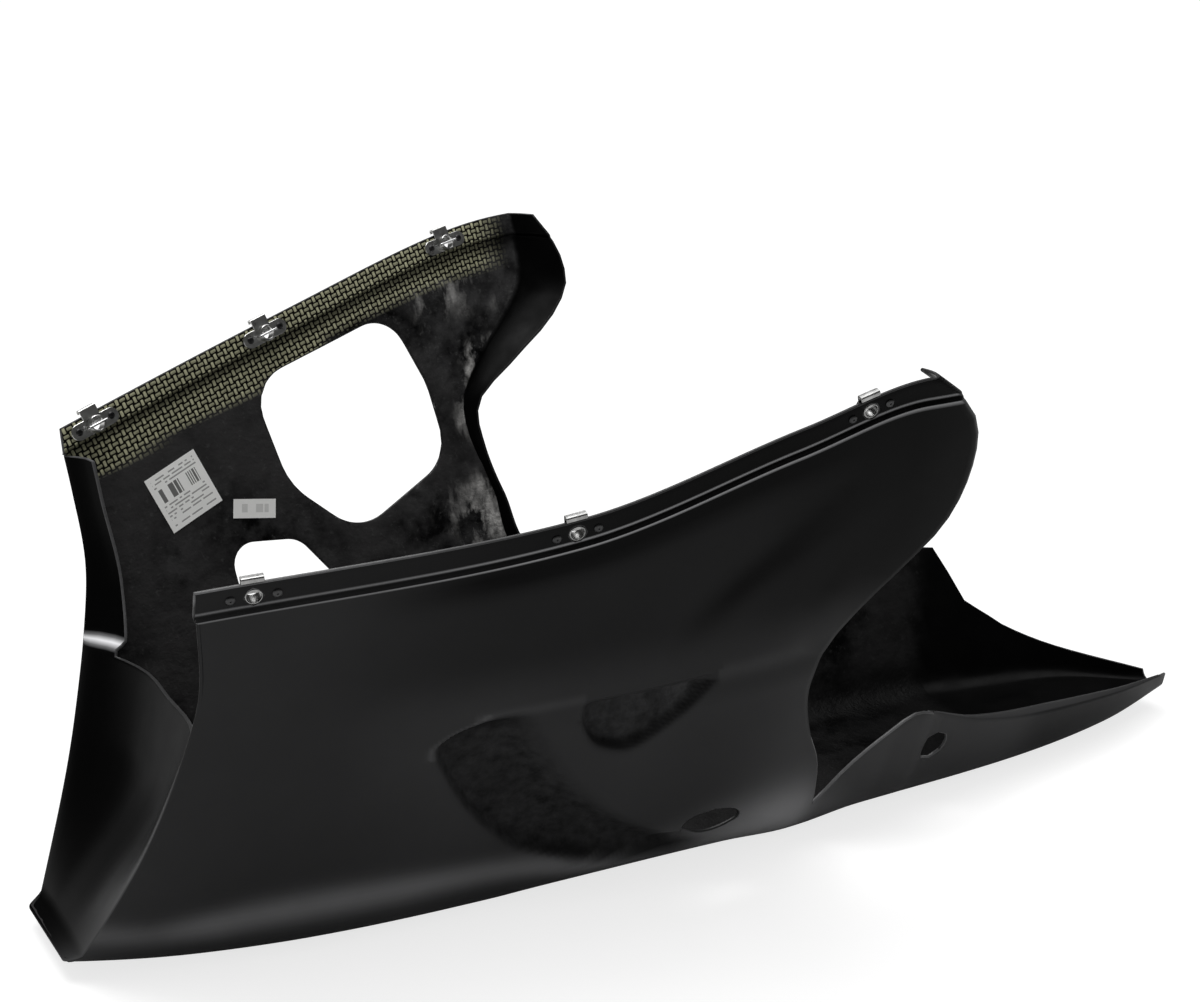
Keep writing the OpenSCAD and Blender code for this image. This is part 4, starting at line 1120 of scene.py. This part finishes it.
# Lit and shaded copies of one zinc plate: near ones painted darker as shade, far ones painted lighter as
# light
M_SHADED_PLATE = metal("zinc_shaded_plate", (0.10, 0.10, 0.10), (0.62, 0.62, 0.61), 0.2, 300)
M_LIT_PLATE = metal("zinc_lit_plate", (0.35, 0.35, 0.34), (0.9, 0.9, 0.88), 0.2, 300)
M_WIRE = metal("spring_wire", (0.55, 0.55, 0.55), (0.8, 0.8, 0.8), 0.16)
M_RIVET = metal("rivet_alloy", (0.02, 0.02, 0.021), (0.10, 0.10, 0.10), 0.3)
for m in (M_OUT, M_IN, M_EDGE):
    me.materials.append(m)
index = np.zeros(len(me.polygons), int)
index[len(faces):2 * len(faces)] = 1
index[2 * len(faces):] = 2
me.polygons.foreach_set("material_index", index)
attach(shell, "root")
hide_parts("shell")


# Fasteners, in the frame of each stud: x along the flange, y out of it and z up
CREASE = math.radians(40)


def closed(name, spot, parts, material):
    """One piece from several closed part meshes, put at a stud."""
    p, r, out, up = STUDS[spot]
    verts, rings = [], []
    for part_verts, part_faces in parts:
        rings += [tuple(len(verts) + i for i in ring) for ring in part_faces]
        verts += [tuple(p + v[0] * r + v[1] * out + v[2] * up) for v in part_verts]
    ob = make_object(name + "_fine", to_world(verts), rings)
    bm = bmesh.new()
    bm.from_mesh(ob.data)
    bmesh.ops.remove_doubles(bm, verts=bm.verts, dist=1e-7)
    bmesh.ops.recalc_face_normals(bm, faces=bm.faces)
    bm.to_mesh(ob.data)
    bm.free()
    ob.data.set_sharp_from_angle(angle=CREASE)
    ob.data.materials.append(material)
    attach(ob, "root")
    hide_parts(name)


def lathe(profile, x0=0.0, ring=False, steps=40):
    """A profile of radius and depth turned about the y axis at x0."""
    verts = [(x0 + r * math.cos(2 * math.pi * k / steps), y, r * math.sin(2 * math.pi * k / steps))
             for k in range(steps) for r, y in profile]
    n = len(profile)
    rings = []
    for k in range(steps):
        a, b = k * n, (k + 1) % steps * n
        rings += [(a + i, a + (i + 1) % n, b + (i + 1) % n, b + i) for i in range(n if ring else n - 1)]
    return verts, rings


def hole_edge(x0, r, steps=36):
    """Points around a round hole, in the sense that is opposite to the outline of the sheet."""
    turns = [2 * math.pi * k / steps for k in range(steps)]
    return [(x0 + r * math.cos(a), -r * math.sin(a)) for a in turns]


def plate(outline, holes, y0, y1, edge):
    """A flat sheet with round holes and softened rims."""
    verts, rings, ids = [], [], []
    for y, inset in ((y0, edge), (y0 + edge, 0), (y1 - edge, 0), (y1, edge)):
        level = []
        for loop in [outline] + [hole_edge(x, r) for x, r in holes]:
            q = np.array(loop)
            t = np.roll(q, -1, 0) - np.roll(q, 1, 0)
            t /= np.linalg.norm(t, axis=1, keepdims=True)
            q = q + inset * np.stack([-t[:, 1], t[:, 0]], 1)
            level.append([len(verts) + k for k in range(len(q))])
            verts += [(a, y, b) for a, b in q]
        ids.append(level)
    for a, b in zip(ids, ids[1:]):
        for la, lb in zip(a, b):
            rings += [(la[k], la[(k + 1) % len(la)], lb[(k + 1) % len(la)], lb[k]) for k in range(len(la))]
    flat = [Vector((verts[i][0], verts[i][2])) for loop in ids[0] for i in loop]
    edges, start = [], 0
    for loop in ids[0]:
        edges += [(start + k, start + (k + 1) % len(loop)) for k in range(len(loop))]
        start += len(loop)
    tris = geometry.delaunay_2d_cdt(flat, edges, [], 0, 1e-6)[2]
    for level in (ids[0], ids[-1]):
        order = [i for loop in level for i in loop]
        for t in tris:
            mid = sum((flat[i] for i in t), Vector((0, 0))) / 3
            if all(math.hypot(mid.x - x, mid.y) > r + edge * 0.5 for x, r in holes):
                rings.append(tuple(order[i] for i in t))
    return verts, rings


def stadium(half, r, steps=18):
    turns = np.linspace(-math.pi / 2, math.pi / 2, steps)
    return [(end * (half + r * math.cos(a)), end * r * math.sin(a)) for end in (1, -1) for a in turns]


def bend(a, corner, b, r, steps=6):
    """Points of a round bend between two straight runs that meet at the corner."""
    a, corner, b = (np.array(v, float) for v in (a, corner, b))
    u, v = (a - corner) / np.linalg.norm(a - corner), (b - corner) / np.linalg.norm(b - corner)
    p, q = corner + u * r, corner + v * r
    return [tuple(arc(p, corner, q, t)) for t in np.linspace(0, 1, steps)]


def heading(path):
    """The points of a path and the direction at each."""
    q = np.array(path)
    t = np.gradient(q, axis=0)
    return q, t / np.linalg.norm(t, axis=1, keepdims=True)


def tube(verts, n):
    """Faces around and at both ends of a run of sections with n points each."""
    last = len(verts) - n
    rings = [(k + i, k + (i + 1) % n, k + n + (i + 1) % n, k + n + i)
             for k in range(0, last, n) for i in range(n)]
    return verts, rings + [tuple(range(n)), tuple(last + i for i in range(n))]


def strip(path, half_w, half_t, edge=0.22):
    """A bent strip of sheet along a path in y and z."""
    q, t = heading(path)
    n = np.stack([-t[:, 1], t[:, 0]], 1)
    w, h = half_w, half_t
    section = [(-w + edge, -h), (w - edge, -h), (w, -h + edge), (w, h - edge), (w - edge, h), (-w + edge, h),
               (-w, h - edge), (-w, -h + edge)]
    verts = [(x, p[0] + d * m[0], p[1] + d * m[1]) for p, m in zip(q, n) for x, d in section]
    return tube(verts, len(section))


def wire(path, r, steps=14):
    """A round wire along a path in x and y."""
    verts = []
    for p, d in zip(*heading(path)):
        for k in range(steps):
            a = 2 * math.pi * k / steps
            verts.append((p[0] - d[1] * r * math.cos(a), p[1] + d[0] * r * math.cos(a), r * math.sin(a)))
    return tube(verts, steps)


# Inner face of the plate, and outlines of the tab, the barrel, the spring and the rivet
PLATE_Y = -2.7
tab_path = ([(-3.2, 0.5), (-3.2, 6.0)] + bend((-3.2, 6.0), (-3.2, 12.5), (0.8, 12.5), 1.1)
            + bend((-3.2, 12.5), (0.8, 12.5), (0.8, 10.1), 1.0) + [(0.8, 10.05)])
barrel = [(4.3, 0.0), (4.6, 0.0), (4.95, -0.3), (5.0, -2.7), (5.0, -3.3), (5.9, -3.8), (5.9, -7.9),
          (5.75, -8.4), (5.4, -8.7), (4.7, -8.7), (4.3, -8.3)]
LEG, BACK = 7.5, -9.8
wire_path = ([(-LEG, -3.75)] + bend((-LEG, -3.8), (-LEG, BACK), (0, BACK), 1.7)
             + [(-2.0, BACK), (0.0, BACK), (2.0, BACK)]
             + bend((0, BACK), (LEG, BACK), (LEG, -3.8), 1.7) + [(LEG, -3.75)])
rivet = [(0, 0.62), (0.45, 0.62), (0.62, 1.05), (1.2, 1.24), (1.9, 1.08), (2.5, 0.78), (2.78, 0.45),
         (2.74, 0.3), (1.6, 0.3), (1.6, -3.7), (2.38, -3.7), (2.4, -4.0), (2.1, -4.35), (1.5, -4.55),
         (0.8, -4.6), (0.7, -4.3), (0, -4.25)]
PLACES = ["front", "middle", "rear"]
plate_holes = [(0, 4.6), (-RIVET_X, 1.7), (RIVET_X, 1.7)]
for spot in STUDS:
    tag = ("left_" if spot[0] == LEFT else "right_") + PLACES[spot[1]]
    sheet = plate(stadium(RIVET_X, 5.5), plate_holes, PLATE_Y - 1, PLATE_Y, 0.2)
    closed("receptacle_" + tag, spot, [sheet, lathe(barrel, ring=True), strip(tab_path, 6.4, 0.5)],
           M_SHADED_PLATE if spot[0] == LEFT else M_LIT_PLATE)
    closed("spring_" + tag, spot, [wire(wire_path, 0.8)], M_WIRE)
    closed("rivets_" + tag, spot, [lathe(rivet, x0) for x0 in (-RIVET_X, RIVET_X)], M_RIVET)


def label(name, x, z, w, h, turn, material, steps=16):
    """A paper label that follows the inner face of the right wall."""
    a = out_normal(RIGHT, x, z)
    ca, sa = math.cos(math.radians(turn)), math.sin(math.radians(turn))
    verts, uvs = [], []
    for depth in (0.25, 0.5):
        for j in range(steps + 1):
            for i in range(steps + 1):
                u, v = w * (i / steps - 0.5), h * (j / steps - 0.5)
                px = x + (u * ca - v * sa) * math.sqrt(1 - a[0] ** 2)
                pz = z + (u * sa + v * ca) * math.sqrt(1 - a[2] ** 2)
                p = np.array([px, float(face_y(RIGHT, px, pz)), pz])
                verts.append(p - (SHEET_T + depth) * out_normal(RIGHT, px, pz))
                uvs.append((i / steps, j / steps))
    n = steps + 1
    rings = []
    for k in (0, n * n):
        for j in range(steps):
            for i in range(steps):
                ring = (k + j * n + i, k + j * n + i + 1, k + (j + 1) * n + i + 1, k + (j + 1) * n + i)
                rings.append(ring if k else ring[::-1])
    border = (list(range(steps)) + [j * n + steps for j in range(steps)]
              + [steps * n + i for i in range(steps, 0, -1)] + [j * n for j in range(steps, 0, -1)])
    rings += [(a, b, b + n * n, a + n * n) for a, b in zip(border, border[1:] + border[:1])]
    ob = make_object(name + "_fine", to_world(verts), rings, smooth=False)
    layer = ob.data.uv_layers.new(name="print")
    ids = np.zeros(len(ob.data.loops), int)
    ob.data.loops.foreach_get("vertex_index", ids)
    layer.data.foreach_set("uv", np.array(uvs)[ids].astype(np.float32).ravel())
    ob.data.materials.append(material)
    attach(ob, "root")
    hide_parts(name)


label("large_label", 142, 239, 42, 42, 23, label_paper("large_label_paper", 17, 52, (0.50, 0.74), 0.8, 0.85))
label("small_label", 192, 219, 32, 13.5, -9, label_paper("small_label_paper", 5, 30, (0.30, 0.74), 0.0, 0.28))

# Camera at the photograph's place, in metres and degrees
LENS, SENSOR, FAR = 54, 36, 200
CAMERA_AT = ((-158.603 - ORIGIN_X) * MM, -1.03568, 0.601105)
CAMERA_TURN = (72.88864, -0.37927, -27.7041)
cam = bpy.data.cameras.new("camera")
cam.lens = LENS
cam.sensor_width = SENSOR
cam.clip_end = FAR
cam_ob = bpy.data.objects.new("camera", cam)
cam_ob.location = CAMERA_AT
cam_ob.rotation_euler = [math.radians(a) for a in CAMERA_TURN]
bpy.context.scene.collection.objects.link(cam_ob)
bpy.context.scene.camera = cam_ob

# Plain white floor that keeps the shadow
SPREAD, FLOOR_Z, FLOOR_GREY = 60, -0.0006, 0.84
floor_corners = [(a * SPREAD, b * SPREAD, FLOOR_Z) for a, b in ((-1, -1), (1, -1), (1, 1), (-1, 1))]
floor = make_object("floor", floor_corners, [(0, 1, 2, 3)], smooth=False)
fm, nt, b = new_material("floor_white")
b.inputs["Base Color"].default_value = (FLOOR_GREY, FLOOR_GREY, FLOOR_GREY, 1)
b.inputs["Roughness"].default_value = 0.9
b.inputs["Specular IOR Level"].default_value = 0.0
glow = nt.nodes.new("ShaderNodeEmission")
glow.inputs["Strength"].default_value = 1.3
path = nt.nodes.new("ShaderNodeLightPath")
blend = nt.nodes.new("ShaderNodeMixShader")
link(times(path.outputs["Is Camera Ray"], 0.58), blend.inputs[0])
link(b.outputs[0], blend.inputs[1])
link(glow.outputs[0], blend.inputs[2])
link(blend.outputs[0], nt.nodes["Material Output"].inputs[0])
floor.data.materials.append(fm)

# White backdrop for the camera, dimmer as a light and dim in reflections
world = bpy.data.worlds.new("studio")
bpy.context.scene.world = world
world.use_nodes = True
wt = world.node_tree
bg = wt.nodes["Background"]
bg.inputs["Color"].default_value = (1, 1, 1, 1)
rays = wt.nodes.new("ShaderNodeLightPath")
seen = maths("MAXIMUM", rays.outputs["Is Camera Ray"], rays.outputs["Is Transmission Ray"])
level = scaled(seen, 0.62, 0.38)
level = minus(level, times(rays.outputs["Is Glossy Ray"], 0.32))
link(level, bg.inputs["Strength"])


def lamp(name, kind, loc, target, power, size):
    data = bpy.data.lights.new(name, kind)
    data.energy = power
    if kind == "SUN":
        data.angle = math.radians(size)
    else:
        data.size = size
    ob = bpy.data.objects.new(name, data)
    ob.location = loc
    ob.rotation_euler = (Vector(target) - Vector(loc)).to_track_quat("-Z", "Y").to_euler()
    bpy.context.scene.collection.objects.link(ob)


lamp("sky", "SUN", (0.2, 0.3, 3.0), (0, 0, 0), 1.5, 50)
lamp("rear_soft", "AREA", (0.5, 2.2, 1.9), (0, 0, 0.2), 8, 1.2)
lamp("top_soft", "AREA", (-0.5, 0.3, 1.9), (-0.1, 0.1, 0.2), 9, 0.8)

bpy.context.scene.view_settings.view_transform = "Standard"
